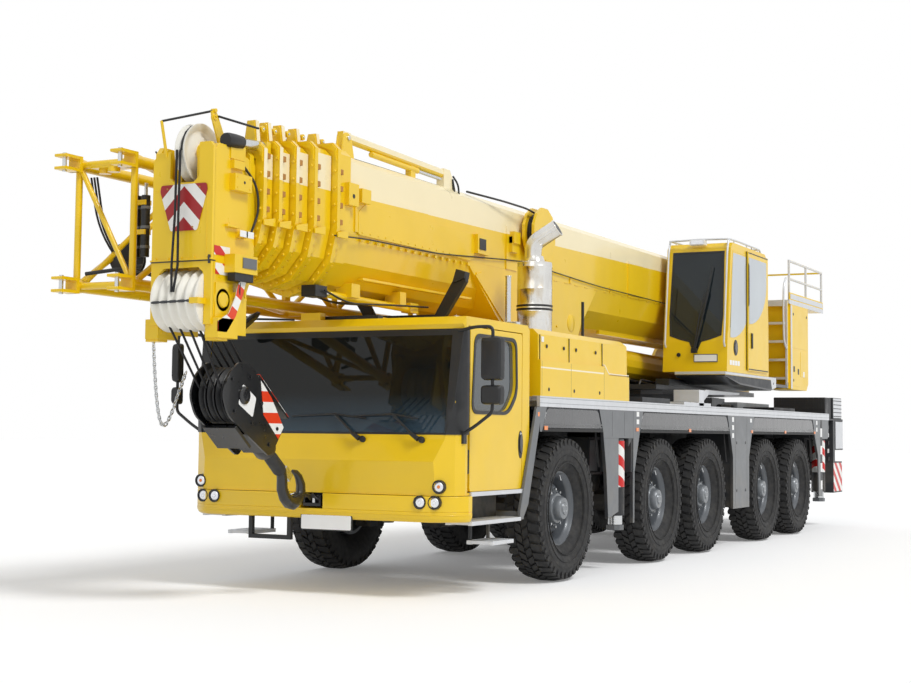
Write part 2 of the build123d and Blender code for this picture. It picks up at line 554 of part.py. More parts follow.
def crane_cab_glass():
    inner = side_prism(tuple((s + 10, z) for s, z in CC_OUTLINE), CC_IN, CC_OUT)
    screen = (crane_cab_outer() - inner) & front_prism(CC_SCREEN, 5000, 5330)
    side = side_prism(CC_WINDOW, CC_OUT - 26, CC_OUT - 18)
    inside = side_prism(((5400, 2900), (5400, 3650), (6500, 3650), (6500, 2900)), CC_IN + 20, CC_IN + 28)
    return Compound(children=[*screen.solids(), side, inside])


def crane_cab_interior():
    """Operator's seat with its lever consoles."""
    seat = side_prism(((5900, 2240), (5900, 2620), (5950, 2740), (6350, 2710), (6430, 3250), (6440, 3480),
                       (6540, 3480), (6560, 3250), (6520, 2600), (6520, 2240)), 700, 1160)
    for x in (640, 1160):
        console = side_prism(((5850, 2700), (5850, 2860), (6400, 2900), (6400, 2760)), x, x + 70)
        lever = bar((x + 35, 5900, 2850), (x + 35, 5880, 3010), 18, 6)
        seat = seat + console + lever
    return seat + block(640, 1230, 6250, 6350, 2600, 2790)


def crane_cab_door():
    door = block(CC_OUT + 6, CC_OUT + 24, 5880, 6800, 2230, 3780)
    door -= side_prism(CC_DOOR_WINDOW, CC_OUT, CC_OUT + 50)
    return door + side_prism(CC_DOOR_WINDOW, CC_OUT + 11, CC_OUT + 17)


def luff_direction():
    ds, dz = LUFF_EYE[0] - LUFF_BASE[0], LUFF_EYE[1] - LUFF_BASE[1]
    length = hypot(ds, dz)
    return length, ds / length, dz / length


def luff_point(distance):
    length, us, uz = luff_direction()
    return (0, LUFF_BASE[0] + us * distance, LUFF_BASE[1] + uz * distance)


def luff_barrel():
    length = luff_direction()[0]
    barrel = bar((-200, *LUFF_BASE), (200, *LUFF_BASE), 150, 8)
    barrel += bar(luff_point(80), luff_point(length - 350), 190, 14)
    barrel += bar(luff_point(length - 480), luff_point(length - 350), 205, 14)
    barrel -= bar(luff_point(300), luff_point(length - 300), 132, 12)
    return barrel - bar((-210, *LUFF_BASE), (210, *LUFF_BASE), 66, 12)


def luff_rod():
    length = luff_direction()[0]
    shaft = bar(luff_point(700), luff_point(length), 126, 12)
    eye = bar((-130, *LUFF_EYE), (130, *LUFF_EYE), 140, 8)
    return shaft + eye - bar((-140, *LUFF_EYE), (140, *LUFF_EYE), 66, 8)


# ---------------------------------------------------------------- boom
def boom_outline(inset):
    """Boom section shrunk by inset: flat top, upright sides and a folded, round underside."""
    half, top, low = BOOM_HALF - inset, BOOM_TOP - inset, BOOM_LOW + inset
    corner = 55.0
    points = [(half, top - corner), (half - corner, top)]
    points += [(-x, z) for x, z in reversed(points)]
    for k in range(FOLDS + 1):
        angle = pi * k / FOLDS
        points.append((-half * cos(angle), BOOM_KNEE - (BOOM_KNEE - low) * sin(angle)))
    return points


def boom_section(inset, s0, s1):
    return front_prism(boom_outline(inset), s0, s1)


def section_tube(index, s0, s1):
    """Section 0 is the base, 1 to 5 telescope out of it."""
    inset = index * STEP_IN
    return boom_section(inset, s0, s1) - boom_section(inset + WALL, s0 - 10, s1 + 10)


def collar(index, s0, s1):
    """End frame of a section, with the raised rope guide on its roof."""
    inset = index * STEP_IN
    ring = boom_section(inset - COLLAR_RIM, s0, s0 + 45) + boom_section(inset - COLLAR_RIM + 28, s0, s1)
    guide = front_prism(((150, BOOM_TOP - inset), (290, BOOM_TOP - inset), (265, 3870 - 12 * index),
                         (185, 3870 - 12 * index)), s0, s0 + 45)
    return ring + guide - boom_section(inset + WALL, s0 - 10, s1 + 10)


def boom_base():
    """Base section with its front collar, foot bosses, cylinder lugs and what is bolted to it."""
    tube = section_tube(0, COLLARS[0] + 40, BOOM_REAR)
    ring = collar(0, COLLARS[0], COLLARS[0] + 250)
    rear = boom_section(WALL, 8600, 8700)
    foot = bar((-BOOM_HALF, *PIVOT), (BOOM_HALF, *PIVOT), 140, 10)
    saddle = ((-330, 3050), (310, 2580), (480, 2475), (2450, 2475), (2540, 2620), (3000, 3050))
    lug = side_prism(((2050, 2500), (2450, 2500), (2400, 2230), (2100, 2230)), 140, 180)
    web = side_prism(saddle, BOOM_HALF - 15, BOOM_HALF)
    plate = block(-BOOM_HALF, BOOM_HALF, 480, 2450, 2475, 2490)
    slope = side_prism(saddle[:3] + ((490, 2490), (320, 2600), (-310, 3050)), -BOOM_HALF, BOOM_HALF)
    bracket = fuse(both(web), plate, slope, both(lug)) - boom_section(10, -900, 3400)
    body = fuse(tube, ring, rear, foot, bracket, boom_fittings())
    bore = bar((-BOOM_HALF - 50, *PIVOT), (BOOM_HALF + 50, *PIVOT), (PIVOT_R + 1) / cos(pi / 12), 12)
    return body - bore


def boom_fittings():
    """Erection arm on top, hose drum and pad plates on the left side, head of the boom's keel."""
    arm = bar((330, -2480, 3900), (330, -600, 3860), 42)
    arm += side_prism(((-2560, 3690), (-2380, 3690), (-2420, 3935), (-2540, 3935)), 300, 360)
    arm += side_prism(((-720, 3690), (-450, 3690), (-520, 3800), (-600, 3900), (-720, 3900)), 290, 370)
    drum = turned([(BOOM_HALF - 4, 0), (BOOM_HALF - 4, 70), (470, 70), (470, 270), (500, 270), (500, 120), (580, 120),
                   (580, 270), (610, 270), (610, 0)], 12)
    plates = [block(BOOM_HALF - 3, BOOM_HALF + 12, s0, s1, z0, z1)
              for s0, s1, z0, z1 in ((-2450, -1150, 3080, 3440), (540, 800, 3060, 3500), (4000, 4500, 3060, 3500))]
    pads = [block(BOOM_HALF - 3, BOOM_HALF + 70, s, s + 150, 3330, 3450) for s in (-2440, 600)]
    return [arm, Pos(0, y_of(1110), 3475) * drum, *plates, *pads]


def telescope(index):
    front = COLLARS[index]
    tube = section_tube(index, front + 10, 8150 - 60 * index)
    return fuse(tube, collar(index, front, COLLARS[index - 1] - 12))


def boom_head():
    """Last section with its head: cheeks, high sheave, open low window and grooved sheave pack."""
    tube = section_tube(5, -3800, 7800)
    s, z = LOW_PACK
    head = side_prism(((-3712, 2620), (-3900, 2250), (-3990, 2110), (-4200, 2110), (HEAD_FRONT, 2180),
                       (HEAD_FRONT, 3470), (-4200, 3560), (-3990, 3560), (-3712, 3500)), -HEAD_HALF, HEAD_HALF)
    head -= front_prism(((-215, 2050), (215, 2050), (215, 2540), (160, 2610), (-160, 2610), (-215, 2540)), -4300, -3400)
    head -= block(-120, 140, -4300, -3860, 3240, 3600)
    head -= block(HEAD_HALF - 40, HEAD_HALF + 5, -4130, -3850, 2700, 3400)
    feet = both(block(200, 330, -4240, -3990, 2080, 2230))
    grooves = [(-212, 0), (-212, 235), (-190, 235)]
    for x in (-190, -63, 64):
        grooves += [(x + 63, 200), (x + 127, 235)]
    grooves += [(212, 235), (212, 0)]
    pack = Pos(0, y_of(s), z) * turned(grooves, 14)
    pack_pin = pin((-HEAD_HALF - 10, s, z), (HEAD_HALF + 10, s, z), 45)
    high = turned([(-35, 0), (-35, 235), (0, 200), (35, 235), (35, 0)], 16)
    sheave = Pos(20, y_of(HIGH_SHEAVE[0]), HIGH_SHEAVE[1]) * high
    axle = bar((-130, *HIGH_SHEAVE), (150, *HIGH_SHEAVE), 45, 6)
    guard = side_prism(((-4020, 3540), (-3900, 3540), (-4070, 3835), (-4120, 3835)), 150, 175)
    buffer = bar((290, -4040, 3600), (290, -3780, 3600), 60, 8)
    bracket = block(230, 330, -3990, -3860, 3480, 3610)
    body = fuse(tube, head, feet, pack, pack_pin, sheave, axle, guard, bracket, buffer)
    return body - boom_section(5 * STEP_IN + WALL, -3700, 7900)


def folding_jib():
    """Lattice of four chords, posts and diagonals with fork ends at the front."""
    front, rear, bays = -4180.0, 4900.0, 6
    x_in, x_out, low, high = -575.0, -1130.0, 2520.0, 3490.0
    corners = ((x_in, low), (x_in, high), (x_out, low), (x_out, high))
    tubes = [bar((x, front, z), (x, rear, z), 48) for x, z in corners]
    joints = [front + 60 + (rear - front - 120) * k / bays for k in range(bays + 1)]
    for s in joints:
        tubes += [bar((x, s, low), (x, s, high), 30, 4) for x in (x_in, x_out)]
        tubes += [bar((x_in, s, z), (x_out, s, z), 30, 4) for z in (low, high)]
    for k, (a, b) in enumerate(zip(joints, joints[1:])):
        z0, z1 = (low, high) if k % 2 else (high, low)
        tubes += [bar((x, a, z0), (x, b, z1), 30, 4) for x in (x_in, x_out)]
    for x, z in corners:
        tubes += [block(x - 60, x + 60, FRONT_TIP, front + 10, z + edge, z + edge + 25) for edge in (-62, 37)]
        tubes.append(block(x - 60, x + 60, front, front + 40, z - 62, z + 62))
    for s in (-2000, 3200):
        tubes.append(block(x_in, -BOOM_HALF, s, s + 80, 3000, 3100))
        tubes.append(block(x_in - 20, x_in + 20, s, s + 80, low, high))
    return fuse(tubes)


# ---------------------------------------------------------------- hook block
HOOK_TOP = (-3640.0, 1665.0)          # station and height of the centre of the block's sheaves
HOOK_LEAN = 52.0                      # degrees from upright: the sling draws it back to the bumper


def hook_block():
    """Cheeks round the sheaves, guard plate, ballast, swivel and an open hook; local -Z hangs down."""
    cheek = ((-225, -120), (-250, 60), (-170, 215), (0, 262), (170, 215), (250, 60), (225, -120),
             (150, -600), (-150, -600))
    plate = extrude(make_face(Plane.YZ * Polyline(*cheek, close=True)), 24, dir=(1, 0, 0))
    frame = Pos(X=-165) * plate + Pos(X=141) * plate
    ballast = Pos(0, 0, -430) * Box(290, 300, 300)
    sheaves = turned([(-142, 0), (-132, 225), (-88, 185), (-44, 225), (0, 185), (44, 225), (88, 185), (132, 225),
                      (142, 0)], 14)
    guard = Pos(0, 262, -330) * Box(330, 16, 520) + Pos(0, 200, -330) * Box(40, 120, 60)
    shank = Pos(0, 0, -960) * extrude(RegularPolygon(55, 6), 420)
    hook_face = make_face(Plane.YZ * Polyline(
        (-70, -1120), (-85, -1205), (-55, -1280), (0, -1305), (58, -1280), (88, -1205), (80, -1130),
        (135, -1120), (160, -1215), (110, -1340), (0, -1392), (-105, -1360), (-160, -1270),
        (-165, -1150), (-120, -1030), (-55, -955), (55, -955), (42, -1030), (-28, -1060), close=True))
    hook = Pos(X=-42) * extrude(hook_face, 84, dir=(1, 0, 0))
    whole = fuse(frame, ballast, sheaves, guard, shank, hook)
    return Pos(0, y_of(HOOK_TOP[0]), HOOK_TOP[1]) * Rot(X=HOOK_LEAN) * whole


# ---------------------------------------------------------------- write every node
for number, station in enumerate(AXLES, 1):
    for tag, flip in (("left", False), ("right", True)):
        for name, shape in (("knuckle", knuckle()), ("wheel", wheel())):
            solid = mirrored(shape) if flip else shape
            save(f"{name}_{number}_{tag}", Pos(0, y_of(station), TYRE_R) * solid)

for tag, side in (("left", 1), ("right", -1)):
    save(f"cab_door_{tag}", cab_door(side))
    for end, front in (("front", True), ("rear", False)):
        save(f"outrigger_beam_{end}_{tag}", outrigger_beam(front, side))
        save(f"outrigger_jack_{end}_{tag}", outrigger_jack(front, side))

for number in range(1, 5):
    save(f"boom_section_{number}", telescope(number))
save("boom_section_5", boom_head())

save("bodywork", Compound(children=[*bodywork(), *rear_bodywork()]))
save("lamps_and_mirrors", Compound(children=[*lamps(), *mirrors()]))
for build in (axles, chassis_frame, boom_rest, deck, cab_shell, cab_glass, cab_interior, front_bumper,
              engine_hood, engine_block, exhaust_stack, turntable, turntable_deck, winch, crane_cab_shell,
              crane_cab_glass, crane_cab_interior, crane_cab_door, luff_barrel, luff_rod, boom_base,
              folding_jib, hook_block):
    save(build.__name__, build())
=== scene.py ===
"""Looks of the five-axle mobile crane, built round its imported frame.

Lengthwise places are stations: metres behind the first axle. Heights are above the ground, and x is
towards the vehicle's left side. Pieces are made in those terms and ride on the frame's bodies.
"""
import math

import bmesh
import bpy
from mathutils import Matrix, Vector


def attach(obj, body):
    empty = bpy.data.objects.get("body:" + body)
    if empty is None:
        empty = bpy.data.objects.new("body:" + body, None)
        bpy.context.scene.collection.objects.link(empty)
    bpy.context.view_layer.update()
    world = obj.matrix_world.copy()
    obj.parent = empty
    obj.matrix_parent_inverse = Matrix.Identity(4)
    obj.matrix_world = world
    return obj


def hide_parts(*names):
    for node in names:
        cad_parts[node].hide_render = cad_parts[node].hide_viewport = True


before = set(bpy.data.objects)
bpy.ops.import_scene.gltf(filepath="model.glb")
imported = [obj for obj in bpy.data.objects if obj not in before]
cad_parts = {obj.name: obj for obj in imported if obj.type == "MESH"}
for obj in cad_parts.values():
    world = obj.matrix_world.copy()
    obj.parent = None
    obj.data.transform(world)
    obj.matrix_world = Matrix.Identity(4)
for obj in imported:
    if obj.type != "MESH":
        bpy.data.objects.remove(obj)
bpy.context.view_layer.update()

AXLE_1 = -3.4                       # row y of the first axle
AXLES = (0.0, 2.64, 4.29, 6.77, 8.42)
TYRE_R = 0.685
SIDES = (("left", 1), ("right", -1))
ACROSS, ALONG, UPRIGHT, AHEAD = (1, 0, 0), (0, 1, 0), (0, 0, 1), (0, -1, 0)


# ---------------------------------------------------------------- places and outlines
def at(x, s, z):
    """Row-frame point from x, station and height."""
    return Vector((x, s + AXLE_1, z))


def side_ring(points, x):
    """Row-frame points of a (station, height) outline at x."""
    return [at(x, s, z) for s, z in points]


def front_ring(points, s):
    """Row-frame points of an (x, height) outline at a station."""
    return [at(x, s, z) for x, z in points]


def oval(s, z, half_s, half_z, count):
    """An ellipse of (station, height) points."""
    return [(s + half_s * math.cos(a), z + half_z * math.sin(a)) for a in angles(count)]


def arc(centre, radius, start, end, steps):
    """Points on a circle in any plane's own two coordinates, angles in degrees."""
    out = []
    for k in range(steps + 1):
        a = math.radians(start + (end - start) * k / steps)
        out.append((centre[0] + radius * math.cos(a), centre[1] + radius * math.sin(a)))
    return out


def cut_corner(before, corner, after, radius, share, steps):
    """Points of a curve that cuts a corner off, using at most a share of either edge."""
    u, v = before - corner, after - corner
    cut = min(radius, u.length * share, v.length * share)
    start, end = corner + u.normalized() * cut, corner + v.normalized() * cut
    return [(1 - t) ** 2 * start + 2 * t * (1 - t) * corner + t * t * end
        for t in (j / steps for j in range(steps + 1))]


def softened(points, radius, steps=4):
    """A closed outline with its corners rounded off."""
    spots = [Vector(p) for p in points]
    around = zip(spots[-1:] + spots[:-1], spots, spots[1:] + spots[:1])
    return [tuple(p) for corner in around for p in cut_corner(*corner, radius, 0.45, steps)]


def rect(a0, a1, b0, b1, radius=0.0, steps=4):
    """A rectangle's outline, with rounded corners if a radius is given."""
    corners = [(a0, b0), (a1, b0), (a1, b1), (a0, b1)]
    return softened(corners, radius, steps) if radius else corners


def smooth_path(points, radius, steps=5):
    """An open line of points with its bends rounded."""
    bends = [cut_corner(a, p, b, radius, 0.48, steps) for a, p, b in zip(points, points[1:], points[2:])]
    return [points[0], *sum(bends, []), points[-1]]


def band(a0, a1, r0, r1):
    """Section of a band for a lathe: from a0 to a1 along, r0 to r1 in radius."""
    return [(a0, r0), (a0, r1), (a1, r1), (a1, r0)]


def stub(half, radius):
    """Section of a round bar for a lathe, reaching half to both sides."""
    return [(-half, radius), (half, radius)]


def button(radius, height, slope=0.0):
    """Section of a flat disc for a lathe, standing on its centre."""
    return [(0, radius), (height, radius - slope), (height, 0)]


def angles(count, shift=0.0):
    """Evenly spread angles of a whole turn."""
    return [math.tau * (k + shift) / count for k in range(count)]


def square_axes(axis):
    """The axis as a unit vector and two more square to it."""
    axis = Vector(axis).normalized()
    u = axis.orthogonal().normalized()
    return axis, u, axis.cross(u)


# ---------------------------------------------------------------- pieces
TIP_RADIUS = 0.0004                 # a lathe's point is closed by a ring this small


def soften_edges(obj, width, angle):
    """Rounds every edge that is sharper than the angle."""
    edges = obj.modifiers.new("edges", "BEVEL")
    edges.width, edges.segments = width, 2
    edges.limit_method, edges.angle_limit = "ANGLE", math.radians(angle)
    edges.use_clamp_overlap = True


class Piece:
    """One visible piece: faces with materials, riding on one body."""

    def __init__(self, name, body, slot, main=None, bevel=0.0, sharp=34):
        self.name, self.body, self.slot, self.main = name, body, slot, main
        self.bevel, self.sharp = bevel, sharp
        self.bm = bmesh.new()
        self.materials = []
        self.joined = False

    def index(self, material):
        material = material or self.main
        if material not in self.materials:
            self.materials.append(material)
        return self.materials.index(material)

    def loft(self, rings, material=None, caps=True):
        """Faces between rings of row-frame points, with flat ends."""
        k = self.index(material)
        loops = [[self.bm.verts.new(p) for p in ring] for ring in rings]
        n = len(loops[0])
        faces = []
        for a, b in zip(loops, loops[1:]):
            faces += [self.bm.faces.new((a[i], a[(i + 1) % n], b[(i + 1) % n], b[i])) for i in range(n)]
        if caps:
            faces.append(self.bm.faces.new(loops[0][::-1]))
            faces.append(self.bm.faces.new(loops[-1]))
        for face in faces:
            face.material_index = k
        return self

    def ring(self, outer, inner, material=None):
        """A closed band: rings of points outside, then the same number inside, both along the same way."""
        self.loft([*outer, *inner[::-1], outer[0]], material, caps=False)
        return self

    def side(self, points, x0, x1, material=None):
        """A side-view outline of (station, height) from x0 to x1."""
        return self.loft([side_ring(points, x) for x in (x0, x1)], material)

    def front(self, points, s0, s1, material=None):
        """A front-view outline of (x, height) from station s0 to s1."""
        return self.loft([front_ring(points, s) for s in (s0, s1)], material)

    def plan(self, points, z0, z1, material=None):
        """A plan outline of (x, station) from height z0 to z1."""
        return self.loft([[at(x, s, z) for x, s in points] for z in (z0, z1)], material)

    def box(self, x0, x1, s0, s1, z0, z1, material=None):
        return self.plan(rect(x0, x1, s0, s1), z0, z1, material)

    def boxes(self, rows, material=None):
        for row in rows:
            self.box(*row, material)

    def tube(self, points, radius, sides=10, material=None):
        """A round bar along row-frame points; radius may be a list."""
        radii = radius if isinstance(radius, (list, tuple)) else [radius] * len(points)
        rings = []
        across = None
        for k, p in enumerate(points):
            if k == 0:
                way = points[1] - p
            elif k == len(points) - 1:
                way = p - points[k - 1]
            else:
                way = (p - points[k - 1]).normalized() + (points[k + 1] - p).normalized()
            way.normalize()
            if across is None:
                across = way.orthogonal().normalized()
            across = (across - way * across.dot(way)).normalized()
            other = way.cross(across)
            rings.append([p + (across * math.cos(a) + other * math.sin(a)) * radii[k]
                for a in angles(sides)])
        return self.loft(rings, material)

    def pipe(self, points, radius, bend=0.08, sides=10, material=None):
        """A bent pipe through (x, station, height) points."""
        return self.tube(smooth_path([at(*p) for p in points], bend), radius, sides, material)

    def bar(self, a, b, radius, sides=12, material=None):
        return self.tube([at(*a), at(*b)], radius, sides, material)

    def lathe(self, profile, centre, axis, sides=40, material=None, hollow=False):
        """A turned form: (along, radius) about an axis; hollow joins its last ring to its first."""
        axis, u, v = square_axes(axis)
        rings = [[centre + axis * along + (u * math.cos(a) + v * math.sin(a)) * max(radius, TIP_RADIUS)
            for a in angles(sides)] for along, radius in profile]
        return self.loft(rings + rings[:1] if hollow else rings, material, caps=not hollow)

    def bolt(self, centre, axis, radius, height, sides=6, material=None):
        return self.tube([centre, centre + Vector(axis).normalized() * height], radius, sides, material)

    def circle_of_bolts(self, centre, axis, pcd, count, radius, height, material=None):
        """Bolts round an axis; pcd is the diameter of the circle through them."""
        axis, u, v = square_axes(axis)
        for a in angles(count):
            spot = centre + (u * math.cos(a) + v * math.sin(a)) * pcd / 2
            self.bolt(spot, axis, radius, height, material=material)
        return self

    def turned(self, matrix, start=0):
        """Moves every vertex made since start."""
        self.bm.verts.ensure_lookup_table()
        for vertex in self.bm.verts[start:]:
            vertex.co = matrix @ vertex.co
        return self

    def count(self):
        return len(self.bm.verts)

    def mesh(self):
        if self.joined:
            bmesh.ops.remove_doubles(self.bm, verts=self.bm.verts, dist=1e-5)
        bmesh.ops.recalc_face_normals(self.bm, faces=self.bm.faces)
        data = bpy.data.meshes.new(self.name)
        self.bm.to_mesh(data)
        self.bm.free()
        for material in self.materials:
            data.materials.append(material)
        for polygon in data.polygons:
            polygon.use_smooth = True
        data.set_sharp_from_angle(angle=math.radians(self.sharp))
        return data

    def done(self, *replaced, data=None, place=None):
        """Puts the piece in the scene on its body, standing for the CAD nodes named."""
        obj = bpy.data.objects.new(self.name, data or self.mesh())
        bpy.context.scene.collection.objects.link(obj)
        if place is not None:
            obj.matrix_world = place
        if self.bevel:
            soften_edges(obj, self.bevel, 38)
        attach(obj, self.body)
        if replaced:
            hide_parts(*replaced)
        return obj


# ---------------------------------------------------------------- materials
def colour(red, green, blue):
    """A display colour, 0 to 255 each, as Blender's linear colour."""
    def one(value):
        v = value / 255
        return v / 12.92 if v <= 0.04045 else ((v + 0.055) / 1.055) ** 2.4
    return (one(red), one(green), one(blue), 1.0)


def shade(base, factor):
    return tuple(min(1.0, channel * factor) for channel in base[:3]) + (1.0,)


class Look:
    """A node material made step by step."""

    def __init__(self, name):
        self.material = bpy.data.materials.new(name)
        self.material.use_nodes = True
        self.tree = self.material.node_tree
        self.shader = self.tree.nodes["Principled BSDF"]
        self.place = self.node("ShaderNodeTexCoord").outputs["Object"]

    def node(self, kind, **settings):
        made = self.tree.nodes.new(kind)
        for key, value in settings.items():
            setattr(made, key, value)
        return made

    def link(self, a, b):
        self.tree.links.new(a, b)

    def noise(self, scale, detail=4.0, rough=0.55, stretch=None):
        made = self.node("ShaderNodeTexNoise")
        made.inputs["Scale"].default_value = scale
        made.inputs["Detail"].default_value = detail
        made.inputs["Roughness"].default_value = rough
        source = self.place
        if stretch:
            mapping = self.node("ShaderNodeMapping")
            mapping.inputs["Scale"].default_value = stretch
            self.link(self.place, mapping.inputs["Vector"])
            source = mapping.outputs["Vector"]
        self.link(source, made.inputs["Vector"])
        return made.outputs["Fac"]

    def ramp(self, factor, stops, constant=False):
        made = self.node("ShaderNodeValToRGB")
        made.color_ramp.interpolation = "CONSTANT" if constant else "LINEAR"
        elements = made.color_ramp.elements
        while len(elements) < len(stops):
            elements.new(0.5)
        for element, (position, value) in zip(elements, stops):
            element.position, element.color = position, value
        self.link(factor, made.inputs["Fac"])
        return made.outputs["Color"]

    def spread(self, factor, low, high, start=0.3, end=0.7):
        made = self.node("ShaderNodeMapRange")
        for key, value in (("From Min", start), ("From Max", end), ("To Min", low), ("To Max", high)):
            made.inputs[key].default_value = value
        self.link(factor, made.inputs["Value"])
        return made.outputs["Result"]

    def maths(self, operation, a, b):
        made = self.node("ShaderNodeMath", operation=operation)
        for k, value in enumerate((a, b)):
            if isinstance(value, (int, float)):
                made.inputs[k].default_value = value
            else:
                self.link(value, made.inputs[k])
        return made.outputs["Value"]

    def along(self, direction):
        """How far each point lies along a direction, in metres."""
        made = self.node("ShaderNodeVectorMath", operation="DOT_PRODUCT")
        self.link(self.place, made.inputs[0])
        made.inputs[1].default_value = direction
        return made.outputs["Value"]

    def mix(self, factor, a, b):
        made = self.node("ShaderNodeMix", data_type="RGBA")
        self.link(factor, made.inputs["Factor"])
        for socket, value in ((made.inputs[6], a), (made.inputs[7], b)):
            if isinstance(value, tuple):
                socket.default_value = value
            else:
                self.link(value, socket)
        return made.outputs[2]

    def bump(self, height, strength, distance=0.002):
        made = self.node("ShaderNodeBump")
        made.inputs["Strength"].default_value = strength
        made.inputs["Distance"].default_value = distance
        self.link(height, made.inputs["Height"])
        self.link(made.outputs["Normal"], self.shader.inputs["Normal"])

    def varied(self, base, amount, scale):
        """A colour that drifts a little over the surface."""
        fine = self.noise(scale, 6.0)
        return self.ramp(fine, ((0.25, shade(base, 1 - amount)), (0.5, base),
            (0.75, shade(base, 1 + amount))))

    def put(self, output, socket):
        self.link(output, self.shader.inputs[socket])

    def fixed(self, **values):
        for key, value in values.items():
            self.shader.inputs[key.replace("_", " ")].default_value = value


def simple(name, base, amount=0.06, scale=5.0, rough=(0.35, 0.5), metal=0.0, coat=0.0, bump=0.15,
        grain=180.0, dust=0.0, streaks=None):
    """A painted, moulded or metal surface: drifting colour, uneven gloss and a fine surface."""
    look = Look(name)
    shown = look.varied(base, amount, scale)
    if dust:
        low = look.spread(look.along(UPRIGHT), 1.0, 0.0, 0.25, 1.5)
        patch = look.spread(look.noise(3.5, 8.0), 0.0, 1.0, 0.42, 0.62)
        settled = look.maths("MULTIPLY", look.maths("MULTIPLY", low, patch), dust)
        shown = look.mix(settled, shown, colour(150, 140, 122))
    look.put(shown, "Base Color")
    look.put(look.spread(look.noise(scale * 2.3, 6.0, stretch=streaks), *rough), "Roughness")
    look.fixed(Metallic=metal, Coat_Weight=coat, Coat_Roughness=0.08)
    look.bump(look.noise(grain, 3.0), bump)
    return look.material


YELLOW = colour(238, 198, 12)
PAINT = simple("crane_yellow_paint", YELLOW, 0.035, 2.2, (0.3, 0.4), coat=0.3, bump=0.05, grain=60)
PAINT_LOW = simple("carrier_yellow_paint", YELLOW, 0.035, 2.2, (0.3, 0.4), coat=0.3, bump=0.05, grain=60,
    dust=0.06)
GREY = simple("body_grey_paint", colour(98, 101, 104), 0.05, 3.0, (0.38, 0.5), coat=0.25, bump=0.08,
    dust=0.25)
DARK = simple("mudguard_grey", colour(48, 50, 53), 0.08, 4.0, (0.45, 0.6), bump=0.12, dust=0.3)
FRAME_DARK = simple("chassis_dark_grey", colour(34, 36, 39), 0.1, 4.0, (0.45, 0.65), bump=0.2, dust=0.35)
BLACK = simple("black_plastic", colour(22, 23, 25), 0.12, 8.0, (0.35, 0.5), bump=0.2, grain=320)
BLACK_PAINT = simple("black_gloss_paint", colour(17, 18, 20), 0.1, 5.0, (0.25, 0.4), coat=0.4, bump=0.06)
GASKET = simple("rubber_gasket", colour(12, 12, 13), 0.15, 20.0, (0.55, 0.7), bump=0.2, grain=400)
WHITE = simple("sheave_white_nylon", colour(236, 233, 222), 0.04, 12.0, (0.35, 0.5), bump=0.1)
LABEL = simple("blank_white_label", colour(240, 240, 238), 0.02, 9.0, (0.3, 0.45), bump=0.03)
STEEL = simple("bright_steel", colour(205, 207, 208), 0.05, 14.0, (0.18, 0.34), metal=1.0, bump=0.08,
    grain=90, streaks=(1, 9, 1))
ALUMINIUM = simple("rail_aluminium", colour(212, 214, 217), 0.05, 9.0, (0.3, 0.45), metal=0.35, bump=0.1)
ROPE = simple("greased_wire_rope", colour(38, 38, 40), 0.25, 60.0, (0.35, 0.55), metal=0.6, bump=0.6,
    grain=260)
RIM = simple("rim_grey_paint", colour(84, 88, 93), 0.06, 12.0, (0.32, 0.45), metal=0.15, coat=0.2, bump=0.1)
HUB = simple("hub_grey_paint", colour(120, 124, 128), 0.08, 16.0, (0.3, 0.42), metal=0.3, coat=0.2, bump=0.1)
CAST = simple("cast_axle_paint", colour(40, 41, 43), 0.15, 6.0, (0.5, 0.7), bump=0.5, grain=70, dust=0.3)
SEAT = simple("seat_cloth", colour(52, 54, 58), 0.2, 90.0, (0.8, 0.95), bump=0.5, grain=500)
BRONZE = simple("guide_pad_amber", colour(176, 120, 44), 0.12, 14.0, (0.4, 0.6), bump=0.2)
AMBER = simple("amber_lens", colour(240, 128, 20), 0.06, 40.0, (0.12, 0.2), coat=0.6, bump=0.1, grain=120)
RED = simple("red_lens", colour(190, 22, 20), 0.08, 40.0, (0.12, 0.22), coat=0.6, bump=0.1, grain=120)
LAMP = simple("lamp_reflector", colour(226, 228, 232), 0.1, 30.0, (0.08, 0.18), metal=0.9, coat=0.8,
    bump=0.2, grain=60)


GLARE_FROM, GLARE_RISE = -2.52, 0.0136      # front end of the painted sky reflection on the boom, and its slope along the boom


def painted(name, base, glare_above=None, wear=0.0):
    """Vehicle paint with a drifting tone; above the height given, a painted reflection of the sky makes the
    boom's top and upper sides pale.
    """
    look = Look(name)
    shown = look.varied(base, 0.035, 2.2)
    if glare_above:
        # where the painted sky reflection lies: high on the boom, on its sides and behind its front end
        facing = look.node("ShaderNodeSeparateXYZ")
        look.link(look.node("ShaderNodeTexCoord").outputs["Normal"], facing.inputs[0])
        sideways = look.maths("GREATER_THAN", look.maths("ABSOLUTE", facing.outputs["X"], 0), 0.85)
        behind = look.maths("GREATER_THAN", look.along(ALONG), GLARE_FROM + AXLE_1)
        rise = look.maths("MAXIMUM", look.maths("MULTIPLY", look.along(ALONG), GLARE_RISE), -0.15)
        upper = look.maths("GREATER_THAN", look.maths("SUBTRACT", look.along(UPRIGHT), rise), glare_above)
        near = look.maths("LESS_THAN", look.maths("ABSOLUTE", look.along(ACROSS), 0), 0.445)
        edge = look.maths("MULTIPLY", look.maths("MULTIPLY", upper, near),
            look.maths("MAXIMUM", sideways, behind))
        # the pale colour is a painted reflection of the bright sky
        shown = look.mix(edge, shown, look.varied(colour(246, 232, 190), 0.02, 2.0))
    if wear:
        chips = look.spread(look.noise(34.0, 10.0, 0.75), 0.0, wear, 0.66, 0.7)
        shown = look.mix(chips, shown, colour(92, 84, 66))
    look.put(shown, "Base Color")
    look.put(look.spread(look.noise(5.0, 6.0), 0.27, 0.38), "Roughness")
    look.fixed(Coat_Weight=0.3, Coat_Roughness=0.06)
    look.bump(look.noise(7.0, 2.0), 0.06, 0.004)
    return look.material


